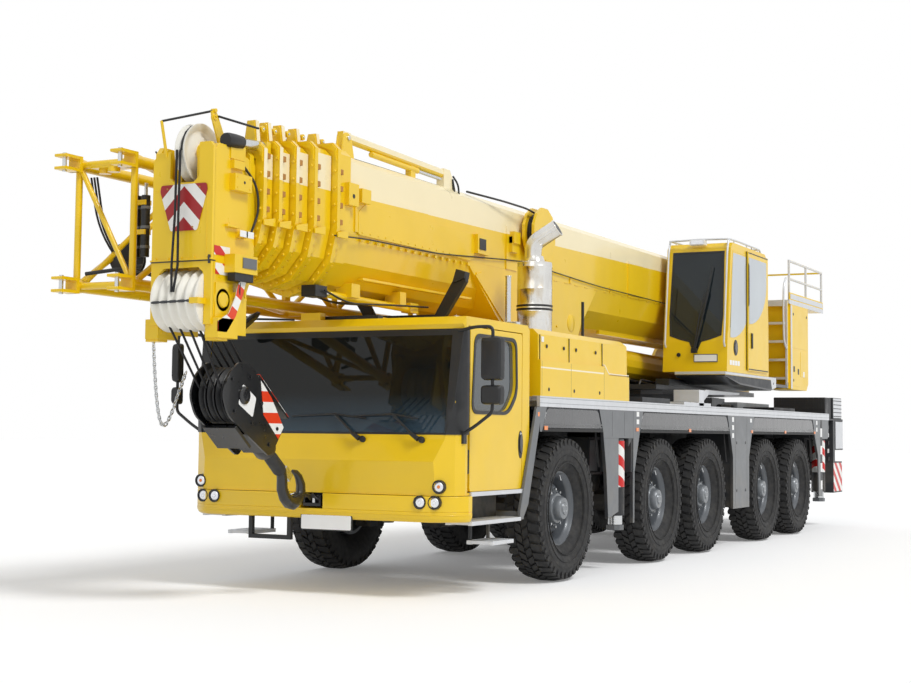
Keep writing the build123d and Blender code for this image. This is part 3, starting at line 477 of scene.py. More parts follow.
def striped(name, first, second, direction, pitch, share=0.5, mirrored_at=None):
    """Slanting bars of two colours; mirrored_at folds them about a plane of x."""
    look = Look(name)
    run = look.along(direction)
    if mirrored_at is not None:
        beside = look.maths("ABSOLUTE", look.maths("SUBTRACT", look.along(ACROSS), mirrored_at), 0)
        run = look.maths("ADD", run, beside)
    wave = look.maths("FRACT", look.maths("DIVIDE", look.maths("ADD", run, 50.0), pitch), 0)
    second_bar = look.maths("GREATER_THAN", wave, share)
    look.put(look.mix(second_bar, look.varied(first, 0.05, 14.0), look.varied(second, 0.05, 11.0)),
        "Base Color")
    look.put(look.spread(look.noise(12.0, 5.0), 0.3, 0.45), "Roughness")
    look.bump(look.noise(420.0, 2.0), 0.08)
    return look.material


def underside(name):
    """Vehicle paint whose parts under the platform are dark."""
    look = Look(name)
    low = look.maths("LESS_THAN", look.along(UPRIGHT), 2.145)
    ahead = look.maths("LESS_THAN", look.along(ALONG), 7.9 + AXLE_1)
    under = look.maths("MAXIMUM", look.maths("LESS_THAN", look.along(UPRIGHT), 2.035),
        look.maths("MULTIPLY", low, ahead))
    look.put(look.mix(under, look.varied(YELLOW, 0.035, 2.2), look.varied(colour(34, 35, 38), 0.1, 4.0)),
        "Base Color")
    look.put(look.spread(look.noise(5.0, 6.0), 0.3, 0.42), "Roughness")
    look.fixed(Coat_Weight=0.25, Coat_Roughness=0.06)
    look.bump(look.noise(60.0, 3.0), 0.05, 0.002)
    return look.material


def glazing(name, tint, clearness, ior, sheen=0.5, low=None):
    """Tinted glass that shows what is behind it darkly; low is a lighter tone near the sill, a painted
    reflection of the sky.
    """
    look = Look(name)
    shown = look.varied(tint, 0.08, 1.3)
    # painted sky reflection: a lighter tone towards the sill
    if low:
        height = look.spread(look.along(UPRIGHT), 0.0, 1.0, 1.4, 1.72)
        shown = look.mix(height, look.varied(low, 0.08, 1.3), shown)
    look.put(shown, "Base Color")
    look.put(look.spread(look.noise(2.0, 4.0), 0.012, 0.03), "Roughness")
    look.fixed(Transmission_Weight=clearness, IOR=ior, Specular_IOR_Level=sheen)
    return look.material


def tread_plate(name, base, scale=70.0, height=0.8):
    """Sheet with raised lozenges."""
    look = Look(name)
    waves = look.node("ShaderNodeTexVoronoi", distance="CHEBYCHEV")
    turned = look.node("ShaderNodeMapping")
    turned.inputs["Rotation"].default_value = (0, 0, math.radians(45))
    look.link(look.place, turned.inputs["Vector"])
    look.link(turned.outputs["Vector"], waves.inputs["Vector"])
    waves.inputs["Scale"].default_value = scale
    waves.inputs["Randomness"].default_value = 0.0
    raised = look.spread(waves.outputs["Distance"], 1.0, 0.0, 0.18, 0.3)
    look.put(look.mix(raised, look.varied(shade(base, 0.8), 0.12, 9.0), look.varied(base, 0.1, 30.0)),
        "Base Color")
    look.put(look.spread(look.noise(6.0, 6.0), 0.35, 0.6), "Roughness")
    look.fixed(Metallic=0.6)
    look.bump(raised, height, 0.003)
    return look.material


def rubber(name):
    """Tyre rubber with patches of dust."""
    look = Look(name)
    dust = look.spread(look.noise(9.0, 9.0, 0.7), 0.0, 0.42, 0.45, 0.72)
    look.put(look.mix(dust, look.varied(colour(27, 27, 28), 0.12, 11.0), colour(72, 69, 64)), "Base Color")
    look.put(look.spread(look.noise(22.0, 5.0), 0.62, 0.85), "Roughness")
    look.bump(look.noise(150.0, 4.0), 0.35, 0.0015)
    return look.material


def heat_steel(name):
    """Ribbed bright silencer steel with blued and straw patches."""
    look = Look(name)
    heat = look.noise(5.0, 5.0, stretch=(1, 1, 0.4))
    tones = ((0.3, colour(206, 204, 200)), (0.55, colour(222, 221, 217)), (0.72, colour(198, 184, 160)),
        (0.9, colour(160, 162, 172)))
    look.put(look.ramp(heat, tones), "Base Color")
    look.put(look.spread(look.noise(3.0, 2.0), 0.2, 0.27), "Roughness")
    look.fixed(Metallic=1.0)
    return look.material


GLOSS_DARK = simple("mudguard_gloss", colour(44, 45, 48), 0.3, 3.0, (0.2, 0.34), coat=0.6, bump=0.02,
    grain=5, streaks=(1, 2.5, 0.4))
# above this height the boom's upper facets show a pale painted reflection of the sky
BOOM = painted("boom_yellow_paint", YELLOW, glare_above=3.46)
BOOM_PLAIN = painted("head_yellow_paint", YELLOW, wear=0.3)
TUBES = painted("lattice_yellow_paint", YELLOW, wear=0.25)
# pale colour painted in for the highlight along the hood's crease
CREASE_HIGHLIGHT = simple("painted_crease_highlight", colour(246, 234, 198), 0.02, 4.0, (0.3, 0.4), coat=0.5, bump=0.05)
TYRE = rubber("tyre_rubber")
# the bluish tone near the sill is a painted reflection of the sky
GLASS = glazing("windscreen_glass", colour(32, 35, 34), 0.5, 1.4, 0.35, colour(70, 92, 108))
CAB_GLASS = glazing("crane_cab_windscreen", colour(34, 44, 50), 0.3, 1.45, 0.5)
SIDE_GLASS = glazing("side_window_glass", colour(84, 92, 97), 0.35, 1.6)
# the pale tone of the crane cab's side windows is a painted reflection of the sky
PALE_GLASS = glazing("crane_cab_side_glass", colour(196, 204, 210), 0.15, 1.7)
UPPER = underside("superstructure_paint")
PLATE = tread_plate("tread_plate_aluminium", colour(178, 181, 184))
MAT_TOP = tread_plate("mat_tread_black", colour(58, 58, 60), 34.0, 1.0)
EXHAUST = heat_steel("silencer_steel")
CHEVRON = striped("chevron_dark_red", colour(158, 26, 30), colour(238, 236, 230), UPRIGHT, 0.235, 0.51, 0.02)
GUARD_BARS = striped("guard_orange_bars", colour(226, 62, 24), colour(240, 240, 236), (0.35, 0, 1), 0.17)
JACK_BARS = striped("jack_red_bars", colour(206, 32, 28), colour(238, 238, 234), (0, 0.6, 0.8), 0.17)
ORANGE_BARS = striped("head_orange_bars", colour(226, 66, 24), colour(240, 240, 236), (0, 0.45, 0.9), 0.19)


# ---------------------------------------------------------------- the frame's own nodes
def wear(names, material, bevel=0.004):
    """A node that is right as packed: its material, and softened edges."""
    for name in names:
        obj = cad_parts[name]
        if not obj.material_slots:
            obj.data.materials.append(material)
        for slot_of in obj.material_slots:
            slot_of.material = material
        for polygon in obj.data.polygons:
            polygon.use_smooth = True
        obj.data.set_sharp_from_angle(angle=math.radians(30))
        if bevel:
            soften_edges(obj, bevel, 32)


wear(["cab_shell"], PAINT_LOW, 0.012)
wear(["engine_hood"], PAINT, 0.01)
wear(["boom_base"] + [f"boom_section_{k}" for k in range(1, 5)], BOOM, 0.008)
wear(["boom_section_5"], BOOM_PLAIN, 0.008)
wear(["crane_cab_shell", "crane_cab_door", "luff_barrel"], PAINT, 0.008)
wear(["turntable"], UPPER, 0.008)
wear(["winch"], PAINT, 0.005)
wear(["turntable_deck"], UPPER, 0.005)
wear(["deck"], PLATE, 0.004)
wear(["bodywork"], DARK, 0.006)
wear(["chassis_frame", "engine_block", "boom_rest"], FRAME_DARK, 0.008)
wear(["axles"] + [f"knuckle_{k}_{tag}" for k in range(1, 6) for tag, _ in SIDES], CAST, 0.006)
wear(["luff_rod"], STEEL, 0.003)
wear(["cab_glass"], GLASS, 0)
wear(["crane_cab_glass"], CAB_GLASS, 0)
wear(["cab_interior", "crane_cab_interior"], SEAT, 0.012)
wear([f"outrigger_beam_{end}_{tag}" for end in ("front", "rear") for tag, _ in SIDES], GREY, 0.005)
wear([f"outrigger_jack_{end}_{tag}" for end in ("front", "rear") for tag, _ in SIDES], GREY, 0.006)


# ---------------------------------------------------------------- wheels
def tyre_profile():
    """Half section of the tyre as (x, radius), outer wall first, from rim to rim."""
    wall = [(1.235, 0.325), (1.262, 0.345), (1.315, 0.4), (1.352, 0.47), (1.364, 0.535), (1.357, 0.59),
        (1.343, 0.632), (1.322, 0.66)]
    return wall + [(1.175, 0.668)] + [(2.35 - x, r) for x, r in wall[::-1]]


def tread_lugs(piece, side):
    """Blocks of the tread: two staggered rows at the shoulders and a broken band between."""
    rows = 42
    for k in range(rows):
        for row, (x0, x1, lean, r) in enumerate(((1.345, 1.245, 0.02, 0.683), (1.238, 1.18, 0.03, 0.685),
                (1.17, 1.112, 0.03, 0.685), (1.105, 1.005, 0.02, 0.683))):
            a = math.tau * (k + 0.5 * (row % 2)) / rows
            span = math.tau / rows * (0.33 if row in (0, 3) else 0.36)
            slant = lean if row % 2 else -lean
            rings = []
            for reach in (0.655, r):
                ring = []
                for x, angle in ((x0, a - span + slant), (x0, a + span + slant), (x1, a + span - slant),
                        (x1, a - span - slant)):
                    drop = 0.022 if x in (1.345, 1.005) else 0.0
                    ring.append(Vector((side * x, math.sin(angle) * (reach - drop),
                        math.cos(angle) * (reach - drop))))
                rings.append(ring)
            piece.loft(rings, TYRE)
        for x in (1.352, 0.998):
            a = math.tau * (k + 0.25) / rows
            ring = [[Vector((side * (x + (0.008 if x > 1 else -0.008) * up), math.sin(b) * r,
                math.cos(b) * r)) for b, r in ((a - 0.03, 0.6), (a + 0.03, 0.6), (a + 0.03, 0.652),
                (a - 0.03, 0.652))] for up in (-1.5, 0.75)]
            piece.loft(ring, TYRE)


def wheel_mesh(side):
    piece = Piece(f"wheel_{'left' if side > 0 else 'right'}", None, None, STEEL, sharp=40)
    out = Vector((side, 0, 0))
    middle = Vector((0, 0, 0))
    piece.lathe(tyre_profile(), middle, out, 96, TYRE, hollow=True)
    tread_lugs(piece, side)
    for x, r in ((1.3655, 0.505), (1.3625, 0.565), (1.353, 0.432)):
        piece.lathe([(x - 0.01, r - 0.006), (x, r - 0.003), (x, r + 0.003), (x - 0.01, r + 0.006)], middle,
            out, 96, TYRE, hollow=True)
    rim = [(1.02, 0.3), (1.03, 0.335), (1.235, 0.338), (1.255, 0.352), (1.268, 0.35), (1.268, 0.338),
        (1.25, 0.322), (1.235, 0.3), (1.215, 0.292), (1.15, 0.288), (1.128, 0.275), (1.12, 0.25)]
    piece.lathe(rim, middle, out, 72, RIM, hollow=True)
    disc = [(1.1, 0.285), (1.128, 0.275), (1.172, 0.235), (1.196, 0.205), (1.2, 0.17), (1.196, 0.15),
        (1.1, 0.15)]
    piece.lathe(disc, middle, out, 72, RIM, hollow=True)
    for a in angles(10, 0.5):
        hole = Vector((side * 1.158, math.sin(a) * 0.252, math.cos(a) * 0.252))
        lean = Vector((side * 0.72, math.sin(a) * 0.7, math.cos(a) * 0.7)).normalized()
        piece.lathe([(-0.01, 0.026), (0.0045, 0.026), (0.0045, 0.021), (0.001, 0.019), (0.0, 0.0)], hole,
            lean, 16, BLACK)
    hub = [(1.19, 0.15), (1.24, 0.148), (1.252, 0.14), (1.254, 0.118), (1.3, 0.112), (1.318, 0.1),
        (1.322, 0.06), (1.331, 0.054), (1.331, 0.0)]
    piece.lathe(hub, middle, out, 48, HUB)
    for a in angles(10):
        place = Vector((side * 1.198, math.sin(a) * 0.178, math.cos(a) * 0.178))
        piece.bolt(place - out * 0.01, out, 0.019, 0.02, material=HUB)
        piece.bolt(place, out, 0.0115, 0.038, 10)
    piece.circle_of_bolts(Vector((side * 1.306, 0, 0)), out, 0.178, 10, 0.008, 0.012)
    piece.circle_of_bolts(Vector((side * 1.328, 0, 0)), out, 0.07, 4, 0.006, 0.0035)
    piece.tube([Vector((side * 1.27, 0.0, 0.312)), Vector((side * 1.285, 0.0, 0.262))], 0.006, 8)
    return piece.mesh()


for side_name, side in SIDES:
    shared = wheel_mesh(side)
    for number, station in enumerate(AXLES, 1):
        node = f"wheel_{number}_{side_name}"
        piece = Piece(f"{node}_dressed", node, "tyre_rubber")
        piece.done(node, data=shared, place=Matrix.Translation(at(0, station, TYRE_R)))


# ---------------------------------------------------------------- boom
BOOM_HALF, BOOM_TOP, BOOM_KNEE, BOOM_LOW, STEP_IN = 0.425, 3.72, 3.06, 2.565, 0.033
COLLARS = (-2.82, -3.12, -3.34, -3.53, -3.7)


def boom_outline(inset, folds=6, corner=0.055):
    """Boom section shrunk by inset, as (x, height)."""
    half, top, low = BOOM_HALF - inset, BOOM_TOP - inset, BOOM_LOW + inset
    points = [(half, top - corner), (half - corner, top), (corner - half, top), (-half, top - corner)]
    for k in range(folds + 1):
        a = math.pi * k / folds
        points.append((-half * math.cos(a), BOOM_KNEE - (BOOM_KNEE - low) * math.sin(a)))
    return points


STUD = [(0, 0.013), (0.006, 0.013), (0.011, 0.01), (0.012, 0)]


# pads, bolts and rope guides on the collars
for number, s in enumerate(COLLARS):
    body = "boom" if number == 0 else f"boom_section_{number}"
    inset = number * STEP_IN - 0.06
    half, crown = BOOM_HALF - inset, BOOM_TOP - inset
    piece = Piece(f"collar_{number}_fittings", body, "boom_yellow", BOOM_PLAIN, bevel=0.002)
    rim = boom_outline(inset)
    for k in range(4, 10):
        (xa, za), (xb, zb) = rim[k], rim[k + 1]
        for t in (0.22, 0.5, 0.78):
            x, z = xa + (xb - xa) * t, za + (zb - za) * t
            nx, nz = zb - za, xa - xb
            length = math.hypot(nx, nz)
            nx, nz = nx / length, nz / length
            if nx * x < 0 or (abs(nx) < 0.2 and nz > 0):
                nx, nz = -nx, -nz
            centre = at(x - nx * 0.03, s - 0.001, z - nz * 0.03)
            piece.lathe(STUD, centre, AHEAD, 8)
            piece.loft([[at(x - nx * d + nz * e, s + behind, z - nz * d - nx * e) for d,
                e in ((top, -wide), (top, wide), (0.026, wide), (0.026, -wide))] for behind, top,
                wide in ((0.046, 0.0, 0.03), (0.112, 0.012, 0.022))])
    for side in (1, -1):
        x = side * half
        for z in (3.12, 3.26, 3.4, 3.54):
            piece.lathe(STUD, at(x - side * 0.028, s - 0.001, z), AHEAD, 8)
            piece.box(min(x, x - side * 0.03), max(x, x - side * 0.03), s + 0.045, s + 0.09, z - 0.022,
                z + 0.022, BRONZE)
        piece.front([(side * (half - dx), crown - dz) for dx, dz in ((0.2, 0.012), (0.055, 0.012),
            (0.012, 0.055), (0.012, 0.16), (0.045, 0.075))], s - 0.012, s + 0.004)
    top = 3.868 - 0.012 * number
    piece.front([(0.17, crown - 0.01), (0.272, crown - 0.01), (0.258, top - 0.02), (0.235, top),
        (0.205, top), (0.19, top - 0.02)], s - 0.008, s + 0.05)
    roller = at(0.225, s + 0.095, top - 0.055)
    piece.lathe(stub(0.05, 0.026), roller, ACROSS, 14)
    piece.lathe(stub(0.058, 0.01), roller, ACROSS, 10, STEEL)
    piece.side([(s + 0.04, top - 0.12), (s + 0.13, top - 0.11), (s + 0.12, top - 0.035),
        (s + 0.04, top - 0.02)], 0.176, 0.186)
    piece.front([(-0.255, crown - 0.01), (-0.195, crown - 0.01), (-0.205, top - 0.07), (-0.245, top - 0.07)],
        s - 0.004, s + 0.046)
    piece.side([(s + 0.001, 2.99), (s + 0.16, 2.99), (s + 0.16, 3.06), (s + 0.001, 3.03)], half - 0.004,
        half + 0.012)
    piece.done()

# what is bolted along the base section's left side, top and keel
base = Piece("boom_side_fittings", "boom", "boom_yellow", BOOM_PLAIN, bevel=0.003)
X = BOOM_HALF
base.side(softened([(-2.4, 3.06), (-0.28, 3.06), (-0.2, 3.13), (-0.2, 3.27), (-0.28, 3.33), (-2.3, 3.33),
    (-2.4, 3.26)], 0.03), X + 0.002, X + 0.016)
for k in range(16):
    s = -2.34 + k * 0.135
    base.lathe([(0, 0.008), (0.005, 0.008), (0.007, 0)], at(X + 0.016, s, 3.085), ACROSS, 8)
    base.box(X - 0.002, X + 0.014, s - 0.016, s + 0.016, 3.006, 3.034)
base.box(X, X + 0.075, -2.66, -2.5, 3.28, 3.47)
base.lathe(button(0.02, 0.003), at(X + 0.075, -2.585, 3.36), ACROSS, 12, BLACK)
base.box(X, X + 0.055, -0.2, 0.05, 3.14, 3.33)
base.box(X + 0.055, X + 0.062, -0.17, -0.03, 3.18, 3.29, DARK)
base.box(X, X + 0.05, 0.6, 0.76, 3.24, 3.4)
base.pipe([(X + 0.055, -2.85, 3.0), (X + 0.03, -2.3, 3.035), (X + 0.022, -1.0, 3.05), (X + 0.022, 0.5, 3.15),
    (X + 0.02, 0.89, 3.17)], 0.0065, 0.3, 8, BLACK)
base.pipe([(X + 0.02, 0.89, 3.17), (X + 0.02, 3.0, 3.1), (X + 0.02, 7.8, 3.06), (X + 0.02, 8.3, 2.9)],
    0.0065, 0.3, 8, BLACK)
for s in (2.2, 3.4, 5.2, 6.6):
    base.box(X, X + 0.012, s, s + 0.05, 3.06, 3.13)
for side in (1, -1):
    for k in range(26):
        s = 0.9 + k * 0.29
        base.box(side * X - 0.006, side * X + 0.006, s, s + 0.1, 3.05, 3.06)
    base.side(rect(-2.14, -0.04, 2.7, 2.722), side * 0.305 - 0.03, side * 0.305 + 0.03)
    base.side(rect(3.6, 8.2, 2.585, 2.64), side * 0.2 - 0.02, side * 0.2 + 0.02)
    for s in (-0.12, 0.12, 0.55, 0.95, 1.4, 1.85, 2.3):
        z = 2.95 if s < 0 else (2.8 if s < 0.3 else 2.56)
        base.lathe([(0, 0.014), (0.008, 0.014), (0.012, 0.008), (0.012, 0)], at(side * X, s, z),
            (side, 0, 0), 6)
    base.side([(-0.16, 2.93), (0.4, 2.57), (0.52, 2.5), (0.75, 2.5), (0.55, 2.6), (0.0, 2.98)],
        side * X - 0.001, side * (X + 0.012) if side > 0 else side * X - 0.012)
base.lathe([(-0.03, 0.085), (-0.01, 0.1), (0.0, 0.1), (0.014, 0.07), (0.016, 0)], at(X + 0.004, 2.25, 2.62),
    ACROSS, 24)
base.done()

keel = Piece("boom_keel_cylinder", "boom", "black_trim", BOOM_PLAIN, bevel=0.002)
keel.bar((0.24, -2.55, 2.545), (0.24, -1.15, 2.525), 0.032, 16)
keel.bar((0.24, -2.7, 2.547), (0.24, -2.52, 2.545), 0.018, 12, STEEL)
keel.box(0.17, 0.31, -2.86, -2.68, 2.505, 2.6, BLACK)
keel.boxes([(0.19, 0.29, -1.2, -1.05, 2.49, 2.58), (0.16, 0.32, -2.3, -2.16, 2.54, 2.66),
    (0.16, 0.32, -1.45, -1.34, 2.54, 2.66)])
for k, x in enumerate((0.12, 0.15, 0.33)):
    keel.pipe([(x, -2.75, 2.56), (x + 0.02, -2.4, 2.5 - 0.012 * k), (x, -1.6, 2.525),
        (x - 0.02, -0.9, 2.56)], 0.009, 0.25, 8, BLACK)
keel.done()

arm = Piece("erection_arm", "boom", "boom_yellow", BOOM_PLAIN, bevel=0.003)
arm.bar((0.33, -2.46, 3.885), (0.33, -0.62, 3.845), 0.036, 20)
arm.bar((0.345, -2.05, 3.815), (0.345, -1.2, 3.8), 0.026, 18)
arm.bar((0.345, -1.2, 3.8), (0.345, -0.75, 3.795), 0.017, 14, STEEL)
lug = softened([(-2.58, 3.7), (-2.36, 3.7), (-2.42, 3.9), (-2.47, 3.93), (-2.54, 3.92)], 0.03)
for x in (0.295, 0.35):
    arm.side(lug, x, x + 0.017)
arm.lathe(stub(0.05, 0.02), at(0.331, -2.47, 3.885), ACROSS, 12, STEEL)
arm.box(0.3, 0.36, -1.35, -1.26, 3.71, 3.83)
arm.pipe([(0.372, -0.55, 3.82), (0.385, -0.53, 3.7), (0.38, -0.5, 3.58)], 0.012, 0.08, 10, BLACK)
arm.pipe([(0.35, -0.5, 3.86), (0.395, -0.47, 3.78), (0.4, -0.46, 3.66), (0.36, -0.5, 3.62)], 0.01, 0.06, 8,
    BLACK)
arm.done()

drum = Piece("hose_drum", "boom", "boom_yellow", BOOM_PLAIN, bevel=0.002)
centre = at(0, 1.11, 3.475)
for x in (0.472, 0.582):
    drum.lathe([(x, 0.0), (x, 0.262), (x + 0.006, 0.27), (x + 0.02, 0.27), (x + 0.026, 0.262),
        (x + 0.026, 0.16), (x + 0.02, 0.15), (x + 0.02, 0.0)], centre, ACROSS, 48)
drum.lathe([(0.498, 0.12), (0.582, 0.12)], centre, ACROSS, 32)
for k in range(4):
    drum.lathe(band(0.5 + 0.02 * k, 0.517 + 0.02 * k, 0.13, 0.215), centre, ACROSS, 40, BLACK, hollow=True)
drum.circle_of_bolts(centre + Vector((0.602, 0, 0)), ACROSS, 0.17, 6, 0.01, 0.008, STEEL)
drum.lathe([(0.6, 0.05), (0.609, 0.045), (0.609, 0.0)], centre, ACROSS, 20, DARK)
drum.pipe([(0.545, 1.02, 3.68), (0.545, 0.8, 3.705), (0.5, 0.3, 3.72), (0.4, -0.3, 3.735)], 0.011, 0.2, 8,
    BLACK)
drum.done()


# ---------------------------------------------------------------- boom head
tube = Piece("boom_tube_5", "boom_section_5", "boom_yellow", BOOM_PLAIN)
outer, inner = boom_outline(5 * STEP_IN), boom_outline(5 * STEP_IN + 0.022)
tube.ring([front_ring(outer, -3.8), front_ring(outer, 7.8)], [front_ring(inner, -3.8),
    front_ring(inner, 7.8)])
tube.joined = True
tube.done()

head = Piece("boom_head", "boom_section_5", "boom_yellow", BOOM_PLAIN, bevel=0.006)
HW, HF = 0.28, -4.26                # half width of the head, station of its face
SHEAVES = at(0, -4.12, 2.37)
face = [(-HW, 2.18), (-0.215, 2.18), (-0.215, 2.5), (-0.2, 2.575), (-0.16, 2.61), (0.16, 2.61), (0.2, 2.575),
    (0.215, 2.5), (0.215, 2.18), (HW, 2.18), (HW, 3.52), (0.255, 3.56), (0.15, 3.56), (0.15, 3.3),
    (0.1, 3.26), (-0.08, 3.26), (-0.12, 3.3), (-0.12, 3.5), (-0.225, 3.5), (-HW, 3.44)]
head.front(face, HF, HF + 0.03)
cheek = [(-4.235, 2.2), (-4.16, 2.11), (-3.99, 2.11), (-3.9, 2.25), (-3.712, 2.62), (-3.712, 3.46),
    (-3.99, 3.555), (-4.19, 3.555), (-4.235, 3.5)]
rim = [(-3.72, 2.7), (-3.66, 2.95), (-3.64, 3.2), (-3.7, 3.4), (-3.8, 3.5), (-3.72, 3.5), (-3.712, 2.62)]
for side in (1, -1):
    skin = side * HW
    head.side(cheek, min(skin, side * 0.235), max(skin, side * 0.235))
    head.side(rim, skin - side * 0.1, skin - side * 0.02)
    head.lathe([(-0.03, 0.105), (0.006, 0.1), (0.012, 0.085), (0.012, 0.06), (0.024, 0.055), (0.026, 0)],
        SHEAVES + Vector((skin, 0, 0)), (side, 0, 0), 28)
    head.boxes([(skin - 0.06, skin + 0.06, -4.24, -3.99, 2.08, 2.23),
        (skin - 0.07, skin + 0.045, -4.22, -4.1, 2.06, 2.09)])
head.front(rect(-0.235, 0.235, 2.62, 3.2), -4.19, -3.75)
head.boxes([(-0.12, -0.06, -4.2, -3.88, 3.2, 3.48), (0.085, 0.15, -4.2, -3.88, 3.2, 3.54),
    (-0.24, -0.215, -4.2, -3.74, 2.12, 2.62), (0.215, 0.24, -4.2, -3.74, 2.12, 2.62)])
head.front(boom_outline(4.3 * STEP_IN), -3.79, -3.735)
for x in (-0.24, -0.12, 0.0, 0.12, 0.24):
    head.bolt(at(x, HF, 2.685), AHEAD, 0.011, 0.01)
    head.bolt(at(x, HF, 3.205), AHEAD, 0.007, 0.006)
head.box(-HW - 0.004, HW + 0.004, HF - 0.008, HF + 0.05, 2.655, 2.662, DARK)
head.box(-HW - 0.006, HW + 0.006, HF - 0.012, HF + 0.04, 2.664, 2.676)
head.box(0.258, 0.272, HF - 0.016, HF + 0.02, 2.635, 2.7, DARK)
head.box(0.225, 0.232, HF - 0.003, HF, 2.7, 3.18)
# boxes and hoses on the left cheek
X = HW
head.boxes([(X, X + 0.035, -4.04, -3.9, 3.385, 3.45), (X, X + 0.055, -4.05, -3.83, 3.215, 3.345)])
head.lathe(button(0.012, 0.003), at(X + 0.055, -3.93, 3.285), ACROSS, 10, BLACK)
for s, z in ((-4.02, 3.24), (-3.86, 3.24), (-4.02, 3.32), (-3.86, 3.32)):
    head.bolt(at(X + 0.055, s, z), ACROSS, 0.007, 0.005)
head.boxes([(X, X + 0.03, -4.1, -3.95, 2.93, 2.95), (X, X + 0.03, -3.96, -3.86, 2.86, 2.9),
    (X, X + 0.1, -4.1, -3.8, 2.58, 2.72)])
head.box(X + 0.1, X + 0.108, -4.0, -3.82, 2.62, 2.7, GREY)
head.box(X + 0.02, X + 0.09, -4.08, -3.84, 2.52, 2.58, BLACK)
head.pipe([(X + 0.05, -3.96, 2.53), (X + 0.06, -3.98, 2.44), (X + 0.04, -3.95, 2.38)], 0.009, 0.04, 8, BLACK)
head.bar((X + 0.03, -3.88, 2.56), (X + 0.03, -3.86, 2.4), 0.01, 8)
head.box(X + 0.055, X + 0.06, -3.98, -3.8, 2.865, 2.915, LABEL)
head.box(X, X + 0.06, -3.9, -3.88, 2.86, 2.92)
head.pipe([(X + 0.01, -3.88, 3.42), (X + 0.035, -3.74, 3.3), (X + 0.035, -3.7, 3.1),
    (X + 0.02, -3.78, 2.92)], 0.01, 0.1, 8, BLACK)
head.side([(-4.215, 2.22), (-4.2, 2.2), (-4.02, 2.2), (-3.96, 2.33), (-4.0, 2.5), (-4.21, 2.5)], X,
    X + 0.012)
# block on top
head.box(0.17, 0.29, -4.05, -3.86, 3.46, 3.6)
head.done("boom_section_5")

plates = Piece("head_marker_plates", "boom_section_5", "boom_yellow", CHEVRON)
plates.front(softened([(-0.195, 3.245), (0.225, 3.245), (0.235, 3.2), (0.145, 2.89), (-0.1, 2.89),
    (-0.205, 3.2)], 0.018), HF - 0.008, HF - 0.003)
for x, z in ((-0.135, 3.215), (0.165, 3.215), (-0.06, 2.915), (0.105, 2.915)):
    plates.bolt(at(x, HF - 0.008, z), AHEAD, 0.008, 0.005, material=BRONZE)
plates.done()

bent = Piece("head_guard_plate", "boom_section_5", "boom_yellow", JACK_BARS)
blade = [(-3.905, 2.575), (-3.99, 2.5), (-4.02, 2.4), (-4.1, 2.27), (-4.24, 2.205), (-4.24, 2.125),
    (-4.13, 2.125), (-4.02, 2.25), (-3.93, 2.42), (-3.88, 2.56)]
for x, look in ((HW + 0.052, LABEL), (HW + 0.056, ORANGE_BARS)):
    bent.side(blade, x, x + 0.004, look)
bent.box(HW + 0.002, HW + 0.055, -3.99, -3.95, 2.4, 2.44, BOOM_PLAIN)
bent.boxes([(HW + 0.001, HW + 0.003, -4.23, -4.03, 2.705, 2.775), (HW + 0.001, HW + 0.003, -4.21, -4.05,
    2.56, 2.645)])
bent.done()

wheels = Piece("head_sheaves", "boom_section_5", "boom_yellow", WHITE, sharp=50)
groove = ((0.012, 0.232), (0.03, 0.205), (0.04, 0.201), (0.05, 0.205), (0.068, 0.232), (0.0795, 0.235))
profile = [(-0.212, 0.1), (-0.212, 0.222), (-0.208, 0.235), (-0.2, 0.235)]
for k in range(5):
    profile += [(-0.2 + 0.08 * k + dx, r) for dx, r in groove]
profile += [(0.208, 0.235), (0.212, 0.222), (0.212, 0.1)]
wheels.lathe(profile, SHEAVES, ACROSS, 72)
wheels.lathe(stub(0.285, 0.045), SHEAVES, ACROSS, 20, STEEL)
top_centre = at(0.0, -4.09, 3.5)
wheels.lathe([(-0.035, 0.0), (-0.035, 0.12), (-0.012, 0.15), (-0.012, 0.185), (-0.03, 0.205),
    (-0.035, 0.235), (-0.022, 0.235), (0.01, 0.2), (0.042, 0.235), (0.055, 0.235), (0.05, 0.205),
    (0.03, 0.185), (0.03, 0.15), (0.055, 0.12), (0.055, 0.0)], top_centre, ACROSS, 72)
wheels.lathe([(0.05, 0.085), (0.085, 0.08), (0.14, 0.075), (0.15, 0.065), (0.15, 0)], top_centre, ACROSS, 32,
    BOOM_PLAIN)
wheels.lathe([(-0.13, 0.06), (-0.03, 0.06)], top_centre, ACROSS, 28, BOOM_PLAIN)
wheels.done()

ROPE_R = 0.0095
rig = Piece("head_rigging", "boom_section_5", "rope_steel", BOOM_PLAIN, bevel=0.001)
rig.bar((-0.16, -4.255, 3.46), (-0.16, -4.33, 3.735), 0.012, 10)
rig.side([(-4.02, 3.54), (-3.9, 3.54), (-4.06, 3.8), (-4.09, 3.835), (-4.135, 3.82), (-4.125, 3.76)], 0.15,
    0.166)
rig.lathe(rect(-0.01, 0.022, 0.022, 0.011), at(0.152, -4.097, 3.775), ACROSS, 20, hollow=True)
rig.bar((-0.16, -4.33, 3.73), (0.165, -4.1, 3.828), 0.009, 10, BLACK)
rig.lathe([(-0.025, 0.016), (0.02, 0.016)], at(0.16, -4.1, 3.828), ACROSS, 12)
rig.bar((0.17, -4.06, 3.79), (0.31, -3.72, 3.745), 0.009, 10, BLACK)
rig.lathe([(-0.0, 0.0), (0.0, 0.052), (0.03, 0.058), (0.12, 0.058), (0.2, 0.052), (0.21, 0.035),
    (0.21, 0.0)], at(0.27, -4.1, 3.595), (0, 1, 0.05), 24, BLACK)
rig.bar((0.27, -3.9, 3.605), (0.27, -3.58, 3.625), 0.04, 24, STEEL)
rig.box(0.22, 0.32, -3.62, -3.56, 3.56, 3.66)
